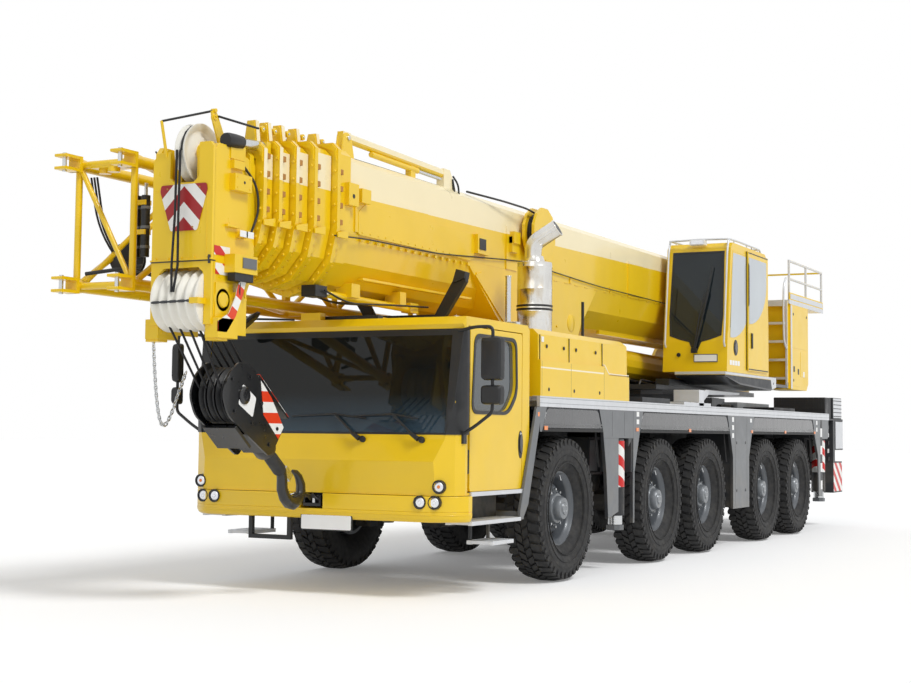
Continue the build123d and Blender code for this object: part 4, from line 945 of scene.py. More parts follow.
rig.lathe([(-0.3, 0.0), (-0.3, 0.055), (-0.35, 0.055), (-0.35, 0.0)], at(0, -4.1, 3.4), ACROSS, 16, BLACK)
rig.bar((-0.3, -4.1, 3.44), (-0.345, -4.16, 3.54), 0.007, 8, BLACK)
rig.bar((-0.2, -4.345, 2.345), (0.165, -4.345, 2.353), 0.011, 10, DARK)
rig.box(0.155, 0.235, -4.358, -4.24, 2.33, 2.375)
for x, side in ((0.02, 1), (-0.012, -1)):
    rig.tube([at(x, -4.325, 3.5), at(x + 0.002, -4.335, 3.0), at(x + 0.012 * side, -4.343, 2.62),
        at(x * 0.5 - 0.01, -4.348, 2.42)], ROPE_R, 10, ROPE)
rig.tube([at(0.02, s, z) for s, z in arc((-4.09, 3.5), 0.222, 180, 20, 8)], ROPE_R, 10, ROPE)
rig.pipe([(0.02, -3.9, 3.6), (0.12, -3.4, 3.76), (0.2, -2.8, 3.775), (0.22, 1.0, 3.76), (0.22, 1.05, 3.74)],
    ROPE_R, 0.2, 8, ROPE)
rig.done()


# ---------------------------------------------------------------- hook block and its falls
hook_turn = Matrix.Translation(at(0, -3.64, 1.665)) @ Matrix.Rotation(math.radians(52), 4, "X")


def hung(piece):
    """Turns a piece made about the upright pin at station 0 to how the block hangs."""
    piece.turned(hook_turn @ Matrix.Translation(Vector((0, -AXLE_1, 0))))


HOOK_PIN = Vector((0, AXLE_1, 0))
hook = Piece("hook_block_dressed", "hook_block", "iron_black", BLACK_PAINT, bevel=0.003)
outline = softened([(-0.225, -0.12), (-0.25, 0.06), (-0.17, 0.215), (0.0, 0.262), (0.17, 0.215),
    (0.25, 0.06), (0.225, -0.12), (0.15, -0.6), (-0.15, -0.6)], 0.06)
for x0, x1 in ((-0.165, -0.147), (0.147, 0.165)):
    hook.side(outline, x0, x1)
for x in (-0.142, 0.142):
    hook.side(softened([(-0.13, -0.3), (0.13, -0.3), (0.11, -0.58), (-0.11, -0.58)], 0.03), min(x, x * 0.55),
        max(x, x * 0.55))
hook.box(-0.1, 0.1, -0.12, 0.12, -0.58, -0.34)
for side in (1, -1):
    hook.lathe([(0.16, 0.072), (0.178, 0.07), (0.186, 0.052), (0.186, 0.032), (0.176, 0.03), (0.176, 0.0)],
        HOOK_PIN, (side, 0, 0), 28)
    for s, z in ((-0.17, 0.02), (0.17, 0.02), (-0.1, -0.22), (0.1, -0.22), (-0.08, -0.52), (0.08, -0.52),
            (0, 0.2)):
        hook.bolt(at(side * 0.165, s, z), (side, 0, 0), 0.016, 0.012)
for x in (-0.08, 0.0, 0.08):
    hook.lathe([(x - 0.032, 0.06), (x - 0.032, 0.215), (x - 0.025, 0.222), (x, 0.188), (x + 0.025, 0.222),
        (x + 0.032, 0.215), (x + 0.032, 0.06)], HOOK_PIN, ACROSS, 44, BLACK)
hook.side([(0.235, -0.06), (0.262, -0.06), (0.262, -0.6), (0.246, -0.6)], -0.165, 0.165)
hook.box(-0.155, 0.155, -0.262, -0.235, -0.34, -0.08)
hook.lathe([(-0.72, 0.085), (-0.7, 0.095), (-0.6, 0.095), (-0.56, 0.075)], HOOK_PIN, UPRIGHT, 28)
hook.lathe([(-0.985, 0.05), (-0.96, 0.058), (-0.8, 0.056), (-0.72, 0.052), (-0.7, 0.052)], HOOK_PIN, UPRIGHT,
    24, CAST)
# the hook's bow as (station, height, radius), flattened sideways
bow = ((0.0, -0.96, 0.05), (0.002, -1.0, 0.05), (-0.035, -1.045, 0.052), (-0.095, -1.095, 0.054),
    (-0.125, -1.165, 0.056), (-0.125, -1.235, 0.058), (-0.09, -1.305, 0.058), (-0.025, -1.345, 0.056),
    (0.045, -1.345, 0.052), (0.1, -1.3, 0.046), (0.128, -1.235, 0.038), (0.128, -1.175, 0.028),
    (0.108, -1.125, 0.014))
begin = hook.count()
hook.tube([at(0, s, z) for s, z, _ in bow], [radius for _, _, radius in bow], 18)
hook.turned(Matrix.Diagonal((0.8, 1, 1, 1)), begin)
hook.box(-0.012, 0.012, 0.01, 0.085, -1.14, -1.02, STEEL)
hook.side(softened([(-0.1, 0.02), (0.06, 0.07), (0.09, -0.14), (-0.06, -0.2)], 0.02), 0.1655, 0.1675, LABEL)
hung(hook)
hook.done("hook_block")

guard = Piece("hook_guard_plate", "hook_block", "iron_black", GUARD_BARS)
guard.side(rect(0.262, 0.267, -0.06, -0.6), -0.163, 0.163)
guard.side([(0.05, -0.3), (0.235, -0.1), (0.225, -0.3), (0.15, -0.59), (0.03, -0.59)], 0.166, 0.169)
hung(guard)
guard.done()

falls = Piece("hook_falls", "hook_block", "rope_steel", ROPE)
for k, x in enumerate((-0.12, -0.04, 0.04, 0.12)):
    falls.bar((x, -4.31 + 0.02 * k, 2.27), (x * 0.85, -3.86, 1.72), ROPE_R, 8)
    falls.bar((x, -3.93, 2.24), (x * 0.85, -3.55, 1.88), ROPE_R, 8)
sling = [(0.0, -2.72, 0.83), (0.03, -2.6, 0.86), (0.02, -2.45, 0.85), (-0.02, -2.36, 0.815)]
falls.pipe(sling, 0.016, 0.06, 12, BLACK)
falls.pipe([(x - 0.05, s, z + 0.015) for x, s, z in sling], 0.01, 0.06, 10, STEEL)
falls.done()

links = Piece("head_chain", "boom_section_5", "iron_black")


def chain(piece, path, step, radius, look):
    """Round links hung along a line of points, each turned a quarter from the last."""
    spots = []
    left = 0.0
    for a, b in zip(path, path[1:]):
        span = (b - a).length
        while left < span:
            spots.append((a.lerp(b, left / span), (b - a).normalized()))
            left += step
        left -= span
    for k, (spot, way) in enumerate(spots):
        flat_side = way.cross(Vector((0.3, 1, 0.2))).normalized()
        if k % 2:
            flat_side = way.cross(flat_side).normalized()
        piece.tube([spot + way * math.cos(a) * step * 0.82 + flat_side * math.sin(a) * step * 0.42
            for a in (math.tau * j / 12 for j in range(13))], radius, 6, look)


hang = [at(-0.33 - 0.03 * math.sin(t * 3.1), -4.15 + 0.42 * t,
    2.1 - 0.62 * math.sin(math.pi * t ** 0.8) * (1 - 0.2 * t) - 0.25 * t)
    for t in (k / 24 for k in range(25))]
chain(links, hang, 0.03, 0.0045, STEEL)
links.done()


# ---------------------------------------------------------------- folding jib
jib = Piece("folding_jib_dressed", "boom", "boom_yellow", TUBES)
JX, JZ = (-0.575, -1.13), (2.52, 3.49)      # places of the four long tubes
JF, JR = -4.18, 4.9                         # front and rear end of the jib
for x in JX:
    for z in JZ:
        jib.bar((x, JF, z), (x, JR, z), 0.047, 20)
        for dz in (-0.05, 0.05):
            jib.side(rect(-4.355, JF + 0.02, z + dz - 0.012, z + dz + 0.012, 0.01), x - 0.055, x + 0.055)
        jib.box(x - 0.058, x + 0.058, JF - 0.005, JF + 0.03, z - 0.062, z + 0.062)
        jib.lathe(stub(0.075, 0.018), at(x, -4.3, z), UPRIGHT, 12, STEEL)
        jib.lathe([(0.0, 0.062), (0.1, 0.05)], at(x, JF + 0.02, z), ALONG, 20)
bays = 6
joints = [JF + 0.06 + (JR - JF - 0.12) * k / bays for k in range(bays + 1)]
for s in joints:
    for x in JX:
        jib.bar((x, s, JZ[0]), (x, s, JZ[1]), 0.028, 14)
    for z in JZ:
        jib.bar((JX[0], s, z), (JX[1], s, z), 0.028, 14)
for k, (a, b) in enumerate(zip(joints, joints[1:])):
    z0, z1 = JZ if k % 2 else JZ[::-1]
    for x in JX:
        jib.bar((x, a, z1), (x, b, z0), 0.026, 14)
    for z in JZ:
        jib.bar((JX[0], a, z), (JX[1], b, z), 0.022, 12)
jib.bar((JX[0], joints[0], JZ[0]), (JX[1], joints[0], JZ[1]), 0.022, 12)
jib.bar((JX[1], joints[0] + 0.05, JZ[0]), (JX[0], (joints[0] + joints[1]) / 2, JZ[1]), 0.022, 12)
for s in (-2.0, 3.2):
    jib.boxes([(JX[0], -BOOM_HALF, s, s + 0.08, 3.0, 3.1), (JX[0] - 0.02, JX[0] + 0.02, s, s + 0.08, JZ[0],
        JZ[1]), (JX[0] - 0.035, JX[0] + 0.035, s - 0.03, s + 0.11, 2.95, 3.15)])
for x, s in ((-0.8, -4.1), (-0.93, -4.05)):
    jib.bar((x, s, 3.42), (x, s, 3.46), 0.05, 16)
jib.box(-1.0, -0.72, -4.14, -3.98, 3.455, 3.49)
jib.done("folding_jib")

kit = Piece("jib_equipment", "boom", "black_trim", BLACK, bevel=0.001)
reel = at(-1.03, -3.62, 2.78), (0.5, -1, 0)
kit.lathe([(-0.05, 0.0), (-0.05, 0.14), (-0.035, 0.14), (-0.035, 0.1), (0.035, 0.1), (0.035, 0.14),
    (0.05, 0.14), (0.05, 0.0)], *reel, 32)
for along in (-0.028, -0.01, 0.008):
    kit.lathe(band(along, along + 0.016, 0.1, 0.125), *reel, 28, GASKET, hollow=True)
for x in (-0.845, -0.755):
    kit.bar((x, -3.75, 2.78), (x, -3.75, 3.28), 0.036, 18)
    kit.bar((x, -3.75, 3.28), (x, -3.75, 3.38), 0.014, 10, STEEL)
    for z in (2.86, 3.02, 3.18):
        kit.lathe(stub(0.012, 0.04), at(x, -3.75, z), UPRIGHT, 18, GREY)
kit.boxes([(-0.87, -0.73, -3.79, -3.71, 2.96, 3.0), (-0.87, -0.73, -3.79, -3.71, 3.2, 3.24)], TUBES)
kit.box(-0.72, -0.62, -3.6, -3.3, 2.57, 2.64)
kit.bar((-0.67, -3.35, 2.64), (-0.67, -3.1, 2.78), 0.012, 10, STEEL)
kit.bar((-1.06, -4.1, 2.62), (-0.62, -3.95, 2.68), 0.016, 10)
for k in range(3):
    kit.pipe([(-1.07 + 0.03 * k, -4.05, 3.4), (-1.03 + 0.03 * k, -4.0, 3.0), (-0.95 + 0.02 * k, -3.8, 2.7),
        (-0.7, -3.2, 2.58 + 0.01 * k)], 0.009, 0.2, 8)
kit.done()


# ---------------------------------------------------------------- driver's cab
def cab_front_at(z):
    """Station of the cab's front face at a height."""
    return -2.29 + (z - 1.335) * 0.14 / 0.935


def corner_at(z, out=0.0):
    """Points (x, station) round the left front corner at a height, pushed outwards."""
    s = cab_front_at(z)
    x = 1.13 + (s + 2.36) / 0.12 * 0.17 if s < -2.24 else 1.3 + (s + 2.24) / 0.11 * 0.04
    points = [(1.228, s - out), (min(x, 1.335), s - out)]
    if s < -2.24:
        points.append((1.3 + out * 0.7, -2.24 - out * 0.7))
    else:
        points.append((min(x, 1.335) + out * 0.7, s + 0.012))
    return points + [(1.34 + out, -2.128), (1.34 + out, -2.08)]


trim = Piece("cab_trim", "carrier", "black_trim", BLACK, bevel=0.0015)
for side in (1, -1):
    rings = []
    for k in range(13):
        z = 1.374 + 0.888 * k / 12
        edge = corner_at(z, 0.009)
        inner = [(x - (0.012 if j > 1 else 0), s + (0.012 if j < 3 else 0)) for j,
            (x, s) in enumerate(corner_at(z, -0.002))]
        rings.append([at(side * x, s, z) for x, s in edge + inner[::-1]])
    trim.loft(rings)
# black bands below and above the windscreen
for xa, xb, z, up in ((-1.235, 1.235, 1.372, 0.018), (1.225, -1.225, 2.262, -0.055)):
    section = [(cab_front_at(level) + back, level) for level, back in ((z, -0.001), (z + up, -0.001),
        (z + up, 0.02), (z, 0.02))]
    trim.side(section, xa, xb)
# wipers
for x in (0.452, 1.021):
    trim.bar((x, -2.315, 1.325), (x, -2.3, 1.335), 0.03, 16)
    trim.pipe([(x, -2.318, 1.33), (x - 0.08, -2.325, 1.375), (x - 0.29, -2.285, 1.54)], 0.011, 0.03, 8)
    trim.tube([at(x - 0.02, -2.33, 1.335), at(x - 0.1, -2.326, 1.385)], [0.024, 0.016], 8)
    trim.tube([at(x - 0.735, cab_front_at(1.52) - 0.016, 1.52), at(x - 0.3, cab_front_at(1.54) - 0.022,
        1.54), at(x + 0.02 if x < 1 else x - 0.05, cab_front_at(1.51) - 0.016, 1.505)], [0.006, 0.01, 0.006],
        8)
# roof fittings
trim.boxes([(-0.24, 0.42, -2.02, -1.93, 2.366, 2.405), (-0.5, -0.3, -1.72, -1.55, 2.4, 2.432)])
for x in (-1.0, 1.0):
    trim.box(x - 0.02, x + 0.02, -1.9, -0.95, 2.366, 2.376)
trim.bar((1.18, -2.03, 2.368), (1.18, -1.2, 2.372), 0.014, 10, STEEL)
trim.box(1.1, 1.32, -1.1, -1.02, 2.366, 2.39, STEEL)
trim.bar((-0.35, -2.16, 2.372), (-0.74, -2.2, 2.385), 0.01, 10)
trim.bar((-0.74, -2.2, 2.385), (-0.8, -2.3, 2.4), 0.012, 10)
# oval mirror over the windscreen
start = trim.count()
trim.lathe([(-0.035, 0.0), (-0.03, 0.06), (-0.01, 0.105), (0.01, 0.112), (0.018, 0.1), (0.014, 0.0)],
    Vector((0, 0, 0)), (0, 0, -1), 28)
leaning = Matrix.Rotation(math.radians(-38), 4, "Y") @ Matrix.Rotation(math.radians(14), 4, "X")
trim.turned(Matrix.Translation(at(-0.735, -2.325, 2.345)) @ leaning @ Matrix.Diagonal((1.35, 0.85, 1, 1)),
    start)
# door sills
for x in (1.341, -1.362):
    trim.box(x, x + 0.021, -2.05, -1.03, 0.862, 0.898, ALUMINIUM)
trim.done()

number_plate = Piece("blank_plate", "carrier", "lamp_housing", BLACK, bevel=0.002)
number_plate.front(rect(-0.12, 0.375, 0.56, 0.68, 0.012), -2.352, -2.346, LABEL)
number_plate.front(rect(-0.13, 0.385, 0.55, 0.69, 0.014), -2.346, -2.336)
number_plate.box(-0.05, 0.3, -2.337, -2.3, 0.6, 0.72)
number_plate.done()

window = [(-2.0, 1.58), (-1.95, 2.2), (-1.165, 2.2), (-1.145, 1.76), (-1.32, 1.58)]
panel = [(-2.05, 0.9), (-2.05, 2.28), (-1.02, 2.28), (-1.02, 1.5), (-1.02, 0.9)]
rubber_line = [(-2.032, 1.55), (-1.98, 2.232), (-1.135, 2.232), (-1.113, 1.73), (-1.3, 1.55)]
for tag, side in SIDES:
    body = f"cab_door_{tag}"
    door = Piece(f"{body}_dressed", body, "cab_yellow", BLACK, bevel=0.004)
    hole, edge = softened(window, 0.09, 5), softened(panel, 0.035, 5)
    door.ring([side_ring(edge, x) for x in (side * 1.282, side * 1.34)],
        [side_ring(hole, x) for x in (side * 1.282, side * 1.34)], PAINT_LOW)
    door.joined = True
    door.bar((side * 1.325, -2.062, 1.05), (side * 1.325, -2.062, 1.25), 0.014, 16)
    door.box(side * 1.313, side * 1.325, -2.062, -2.045, 1.06, 1.24)
    door.done(body)

    fit = Piece(f"{body}_fittings", body, "black_trim", BLACK, bevel=0.0015)
    seal = softened(rubber_line, 0.105, 5)
    fit.ring([side_ring(seal, x) for x in (side * 1.336, side * 1.347)],
        [side_ring(hole, x) for x in (side * 1.336, side * 1.347)])
    fit.joined = True
    dish = [(s, z if z > 1.3 else 1.3 + (z - 1.3) * 1.15) for s, z in oval(-1.045, 1.3, 0.05, 0.115, 24)]
    fit.side(dish, side * 1.336, side * 1.3435)
    fit.side(oval(-1.045, 1.3, 0.028, 0.085, 20), side * 1.342, side * 1.351, BLACK_PAINT)
    fit.lathe(button(0.016, 0.004, 0.002), at(side * 1.3435, -1.045, 1.385), (side, 0, 0), 16, STEEL)
    fit.box(side * 1.255, side * 1.283, -1.98, -1.1, 0.95, 1.4, SEAT)
    fit.bar((side * 1.25, -1.9, 1.2), (side * 1.25, -1.3, 1.25), 0.014, 10)
    fit.done()

    pane = Piece(f"{body}_pane", body, "window_glass", SIDE_GLASS)
    pane.side(hole, side * 1.305, side * 1.311)
    pane.done()



def scaled(points, centre, factor):
    """An outline drawn in towards a centre."""
    return [tuple(c + (p - c) * factor for p, c in zip(point, centre)) for point in points]


# mirrors and lamps
view = Piece("lamps_and_mirrors_dressed", "carrier", "lamp_housing", BLACK, bevel=0.004)
for side in (1, -1):
    x, s = side * 1.605, -2.17
    view.pipe([(side * 1.28, s + 0.01, 2.24), (side * 1.45, s - 0.005, 2.27), (x, s, 2.27), (x, s, 2.1),
        (x, s, 1.64), (x, s, 1.56), (side * 1.45, s + 0.005, 1.45), (side * 1.28, s + 0.01, 1.35)], 0.014,
        0.05, 12)
    wide = 0.095 if side > 0 else 0.042
    for z0, z1 in ((1.825, 2.185), (1.625, 1.785)):
        shape, middle = rect(x - wide, x + wide, z0, z1, 0.035), (x, (z0 + z1) / 2)
        shell, glass = ((-0.048, 0.8), (-0.035, 0.95), (0.0, 1.0), (0.03, 1.0)), ((0.03, 0.93),
            (0.033, 0.93))
        for layers, look in ((shell, BLACK), (glass, LAMP)):
            view.loft([front_ring(scaled(shape, middle, k), s + behind) for behind, k in layers], look)
    view.box(side * 1.285, side * 1.345, s - 0.005, s + 0.055, 1.3, 1.4)
    for px, pz, face in ((1.035, 0.815, -2.354), (1.165, 0.815, -2.343), (1.2, 0.945, -2.334)):
        spot = at(side * px, face, pz)
        view.lathe([(0.03, 0.0), (0.03, 0.057), (-0.008, 0.057), (-0.01, 0.048), (0.006, 0.044), (0.006, 0)],
            spot, ALONG, 28)
        view.lathe([(0.004, 0.0), (-0.004, 0.02), (-0.003, 0.036), (0.004, 0.046), (0.01, 0.046), (0.01, 0)],
            spot, ALONG, 28, LAMP)
        view.lathe([(-0.007, 0.0), (-0.006, 0.013), (-0.002, 0.015), (0.002, 0.0)], spot, ALONG, 20, AMBER
            if pz > 0.9 else LAMP)
    for z in (0.69, 0.76):
        view.box(side * 1.352, side * 1.374, -2.13, -2.07, z, z + 0.055, AMBER)
    view.box(side * 1.08, side * 1.33, 11.082, 11.104, 0.82, 0.96)
    for k, look in enumerate((RED, AMBER, RED, LAMP)):
        view.box(side * (1.09 + 0.06 * k), side * (1.145 + 0.06 * k), 11.104, 11.11, 0.835, 0.945, look)
view.done("lamps_and_mirrors")


# ---------------------------------------------------------------- bumper and boarding steps
plan = [(-1.13, -2.35), (1.13, -2.35), (1.3, -2.24), (1.375, -2.13), (1.375, -2.06), (1.0, -2.06),
    (1.0, -1.95), (-1.0, -1.95), (-1.0, -2.06), (-1.375, -2.06), (-1.375, -2.13), (-1.3, -2.24)]


def bumper_ring(z, narrowing, back):
    """The bumper's outline at a height, narrowed and with its front pushed back."""
    return [at(x * narrowing, s + back if s < -2.2 else s, z) for x, s in plan]


bumper = Piece("bumper_shell", "carrier", "cab_yellow", PAINT_LOW, bevel=0.012)
notched = [(-1.13, -2.35), (-0.15, -2.35), (-0.15, -2.2), (0.09, -2.2), (0.09, -2.35)] + plan[1:]
bumper.plan(notched, 0.735, 0.866)
for levels in (((0.65, 0.985, 0.03), (0.662, 0.992, 0.012), (0.69, 1.0, 0.0), (0.735, 1.0, 0.0)),
        ((0.706, 1.0022, -0.003), (0.714, 1.0022, -0.003))):
    bumper.loft([bumper_ring(*level) for level in levels])
bumper.done("front_bumper")

SLAT_PITCH = 0.036
low = Piece("coupling_and_steps", "carrier", "tread_aluminium", BLACK, bevel=0.003)
low.front(rect(-0.145, 0.085, 0.74, 0.865, 0.01), -2.21, -2.2)
for z in (0.752, 0.822):
    low.box(-0.12, 0.06, -2.33, -2.195, z, z + 0.028)
low.bar((-0.03, -2.29, 0.77), (-0.03, -2.29, 0.85), 0.018, 16, STEEL)
low.boxes([(-0.12, -0.1, -2.33, -2.2, 0.78, 0.822), (0.04, 0.06, -2.33, -2.2, 0.78, 0.822)])
for x0 in (-0.7, -0.3):
    low.box(x0, x0 + 0.04, -2.3, -2.26, 0.49, 0.66)
low.box(-0.7, -0.26, -2.3, -2.26, 0.455, 0.492)
for side in (1, -1):
    for s0, s1, z in ((-2.06, -1.09, 0.655), (-1.66, -1.24, 0.47)):
        low.boxes([(side * 1.12, side * 1.16, s0, s1, z - 0.035, z),
            (side * 1.335, side * 1.374, s0, s1, z - 0.035, z), (side * 1.16, side * 1.335, s0, s0 + 0.06,
            z - 0.03, z), (side * 1.16, side * 1.335, s1 - 0.06, s1, z - 0.03, z)], ALUMINIUM)
        for k in range(int((s1 - s0 - 0.12) / SLAT_PITCH)):
            a = s0 + 0.062 + k * SLAT_PITCH
            low.box(side * 1.155, side * 1.34, a, a + 0.016, z - 0.026, z - 0.002, ALUMINIUM)
    for s in (-1.64, -1.29):
        low.box(side * 1.125, side * 1.15, s, s + 0.03, 0.44, 0.655, FRAME_DARK)
    low.box(side * 1.0, side * 1.125, -2.06, -1.09, 0.63, 0.866, FRAME_DARK)
    low.side([(-0.69, 1.635), (-0.76, 1.635), (-1.11, 0.7), (-1.11, 0.655), (-1.03, 0.655), (-0.94, 0.76),
        (-0.69, 1.5)], side * 1.346, side * 1.3745, GREY)
    low.box(side * 1.12, side * 1.374, -1.092, -1.032, 0.63, 0.7, GREY)
    low.box(side * 1.35, side * 1.3748, -0.745, -0.7, 1.545, 1.59, AMBER)
low.pipe([(0.05, -2.3, 0.8), (0.02, -2.345, 0.82), (-0.02, -2.34, 0.86)], 0.01, 0.03, 8)
low.done()


# ---------------------------------------------------------------- engine housing
cowl = Piece("hood_fittings", "carrier", "cab_yellow", DARK, bevel=0.002)
for side in (1, -1):
    for s0, s1 in ((-0.68, 0.02), (0.03, 0.86)):
        # thin pale strips along the hood's crease: a painted highlight of its edge
        cowl.side(rect(s0, s1, 1.99, 2.006), side * 1.352, side * 1.3752, CREASE_HIGHLIGHT)
    cowl.side([(0.88, 2.08), (1.0, 1.995), (1.56, 1.995), (1.56, 2.006), (1.005, 2.006), (0.888, 2.092)],
        side * 1.35, side * 1.3752, CREASE_HIGHLIGHT)
    for s in (-0.66, 0.025, 0.87):
        cowl.side(rect(s, s + 0.006, 1.74, 2.3), side * 1.34, side * 1.3552)
        cowl.side(rect(s, s + 0.006, 1.74, 2.06), side * 1.35, side * 1.3753)
    for s, z in ((-0.5, 2.2), (-0.1, 2.2), (0.2, 2.2), (0.7, 2.2), (-0.5, 1.8), (0.1, 1.8), (0.75, 1.8)):
        cowl.lathe([(-0.004, 0.018), (0.002, 0.018), (0.003, 0.012), (0.001, 0.01), (0.001, 0)],
            at(side * (1.3535 if z > 2.07 else 1.3755), s, z), (side, 0, 0), 16, BLACK)
    cowl.side(rect(-0.62, -0.57, 2.235, 2.285, 0.006), side * 1.345, side * 1.3535, LABEL)
    cowl.bar((side * 1.362, -0.66, 1.738), (side * 1.362, 1.56, 1.738), 0.008, 10, ALUMINIUM)
for k in range(9):
    s = -0.55 + 0.09 * k
    cowl.box(-1.1, -0.55, s, s + 0.05, 2.352, 2.362)
cowl.done()

stack = Piece("exhaust_stack_dressed", "carrier", "exhaust_steel", EXHAUST, bevel=0.0015, sharp=50)
centre = at(0.875, 0.27, 0)
DRUM = 0.173                        # radius of the silencer
profile = [(2.352, 0.0), (2.352, DRUM + 0.02), (2.362, DRUM + 0.02), (2.366, DRUM), (2.5, DRUM)]
for z in (2.58, 2.8, 3.02):
    profile += [(z, DRUM), (z + 0.004, DRUM + 0.0025), (z + 0.012, DRUM + 0.0025), (z + 0.016, DRUM)]
profile += [(3.06, DRUM), (3.075, DRUM - 0.003), (3.09, 0.1), (3.12, 0.088), (3.14, 0.085), (3.14, 0.0)]
stack.lathe(profile, centre, UPRIGHT, 56)
bend = smooth_path([at(0.855, 0.27, 3.12), at(0.86, 0.27, 3.27), at(1.1, 0.31, 3.42)], 0.14, 9)
stack.tube(bend, 0.0835, 32)
lip = (bend[-1] - bend[-2]).normalized()
stack.lathe([(-0.012, 0.08), (-0.012, 0.088), (0.002, 0.088), (0.002, 0.078), (-0.05, 0.078), (-0.05, 0.0)],
    bend[-1], lip, 32)
stack.lathe([(0.0, 0.0), (0.0, 0.074), (0.0035, 0.074), (0.0035, 0.0)], bend[-1], lip, 32, BLACK)
for z in (2.6, 2.635):
    stack.lathe(band(z, z + 0.018, DRUM, DRUM + 0.007), centre, UPRIGHT, 48, BLACK, hollow=True)
stack.bar((0.95, -0.5, 2.352), (0.95, -0.5, 2.86), 0.0265, 20, STEEL)
stack.lathe([(2.86, 0.03), (2.87, 0.03), (2.87, 0.0)], at(0.95, -0.5, 0), UPRIGHT, 20, STEEL)
stack.bar((1.0, 1.205, 2.352), (1.0, 1.205, 2.758), 0.0155, 14, BLACK)
stack.done("exhaust_stack")


# ---------------------------------------------------------------- crane cab
def cc_front_at(z):
    """Station of the crane cab's front face at a height."""
    return 5.03 + (z - 2.185) * 0.03 / 0.375 if z < 2.56 else 5.06 + (z - 2.56) * 0.155 / 1.2


ccab = Piece("crane_cab_trim", "crane_cab", "black_trim", BLACK, bevel=0.0015)
screen = [(0.59, 3.72), (1.27, 3.72), (1.285, 2.9), (1.27, 2.64), (1.13, 2.59), (1.01, 2.56), (0.96, 2.44),
    (0.9, 2.44), (0.85, 2.56), (0.73, 2.59), (0.59, 2.64), (0.575, 2.9)]
inner_edge = [(0.93 + (x - 0.93) * 0.94, 3.1 + (z - 3.1) * 0.965) for x, z in screen]


def on_front(points, out):
    """An (x, height) outline laid on the leaning front face, pushed out."""
    return [at(x, cc_front_at(z) - out, z) for x, z in points]


ccab.ring(*([on_front(outline, out) for out in (0.004, -0.006)] for outline in (screen, inner_edge)))
ccab.joined = True
for dx in (0.0, 0.045):
    ccab.tube([at(0.925 + dx * 0.3, 5.02, 2.46), at(0.99 + dx, 5.055, 2.92), at(1.05 + dx, 5.095, 3.18)],
        [0.012, 0.01, 0.008], 8)
ccab.tube([at(1.01, 5.055, 2.86), at(1.075, 5.09, 3.15), at(1.135, 5.145, 3.52)], [0.007, 0.011, 0.007], 8)
ccab.boxes([(0.89, 0.97, 5.005, 5.03, 2.42, 2.48), (1.351, 1.357, 5.86, 5.878, 2.24, 3.78)])
ccab.side(oval(5.4, 2.5, 0.085, 0.1, 24), 1.349, 1.356)
ccab.side(oval(5.4, 2.5, 0.052, 0.07, 20), 1.354, 1.362, BLACK_PAINT)
ccab.lathe(button(0.028, 0.004, 0.002), at(0.72, 5.034, 2.4), AHEAD, 20)
ccab.side(rect(5.1, 5.24, 2.84, 2.82), 0.505, 0.513)
ccab.done()

RAILS_AT, RAIL_R = (0.545, 1.318), 0.0125
rails = Piece("crane_cab_rails", "crane_cab", "tread_aluminium", ALUMINIUM)
for x in RAILS_AT:
    rails.pipe([(x, cc_front_at(2.5) - 0.01, 2.5), (x, cc_front_at(2.54) - 0.045, 2.54),
        (x, cc_front_at(3.7) - 0.045, 3.7), (x, 5.22, 3.872), (x, 5.6, 3.88), (x, 6.6, 3.88),
        (x, 6.66, 3.8)], RAIL_R, 0.06, 12)
rails.pipe([(0.545, 5.19, 3.865), (0.93, 5.18, 3.872), (1.318, 5.19, 3.865)], RAIL_R, 0.04, 12)
rails.bar((0.545, 6.58, 3.88), (1.318, 6.58, 3.88), RAIL_R, 12)
for x in RAILS_AT:
    for s in (5.45, 6.0, 6.5):
        rails.bar((x, s, 3.828), (x, s, 3.88), 0.009, 10)
rails.pipe([(1.358, 5.9, 3.05), (1.375, 5.9, 3.09), (1.375, 5.9, 3.6), (1.358, 5.9, 3.64)], 0.011, 0.02, 10,
    BLACK)
rails.box(0.83, 1.03, 5.14, 5.24, 3.8, 3.865, LABEL)
rails.box(0.85, 1.01, 5.125, 5.14, 3.81, 3.855, LAMP)
rails.box(0.6, 0.66, 6.6, 6.68, 3.83, 3.87, BLACK)
rails.bar((1.22, 6.55, 3.82), (1.22, 6.55, 3.93), 0.005, 8, BLACK)
rails.front(rect(0.93, 1.22, 2.315, 2.395, 0.008), 5.026, 5.04, LABEL)
rails.front(rect(0.92, 1.23, 2.305, 2.405, 0.01), 5.03, 5.048, GREY)
for k in range(4):
    rails.box(1.3505, 1.352, 5.15 + 0.11 * k, 5.24 + 0.11 * k, 2.275, 2.335, LABEL)
rails.side([(5.08, 2.69), (5.29, 3.735), (5.86, 3.735), (5.86, 3.72), (5.3, 3.72), (5.095, 2.69)], 1.349,
    1.3535, PAINT)
rails.done()

panes = Piece("crane_cab_side_glass", "crane_cab", "window_glass", PALE_GLASS)
curve = [(5.165, 2.62), (5.29, 3.7), (5.845, 3.7), (5.845, 2.84), (5.76, 2.775), (5.66, 2.72), (5.55, 2.675),
    (5.42, 2.64), (5.28, 2.622)]
panes.side(softened(curve, 0.02), 1.3505, 1.355)
panes.done()

slide = Piece("crane_cab_door_fittings", "crane_cab_door", "window_glass", BLACK, bevel=0.001)
curve = [(5.915, 3.705), (6.71, 3.705), (6.715, 3.4), (6.69, 3.28), (6.64, 3.18), (6.56, 3.085), (6.46, 3.0),
    (6.33, 2.925), (6.19, 2.875), (6.05, 2.845), (5.915, 2.835)]
slide.side(softened(curve, 0.02), 1.3745, 1.3785, PALE_GLASS)
slide.boxes([(1.3735, 1.392, 6.0, 6.04, 2.52, 2.72), (1.372, 1.378, 5.9, 6.78, 2.242, 2.256),
    (1.372, 1.378, 5.9, 6.78, 3.758, 3.77)])
slide.done()


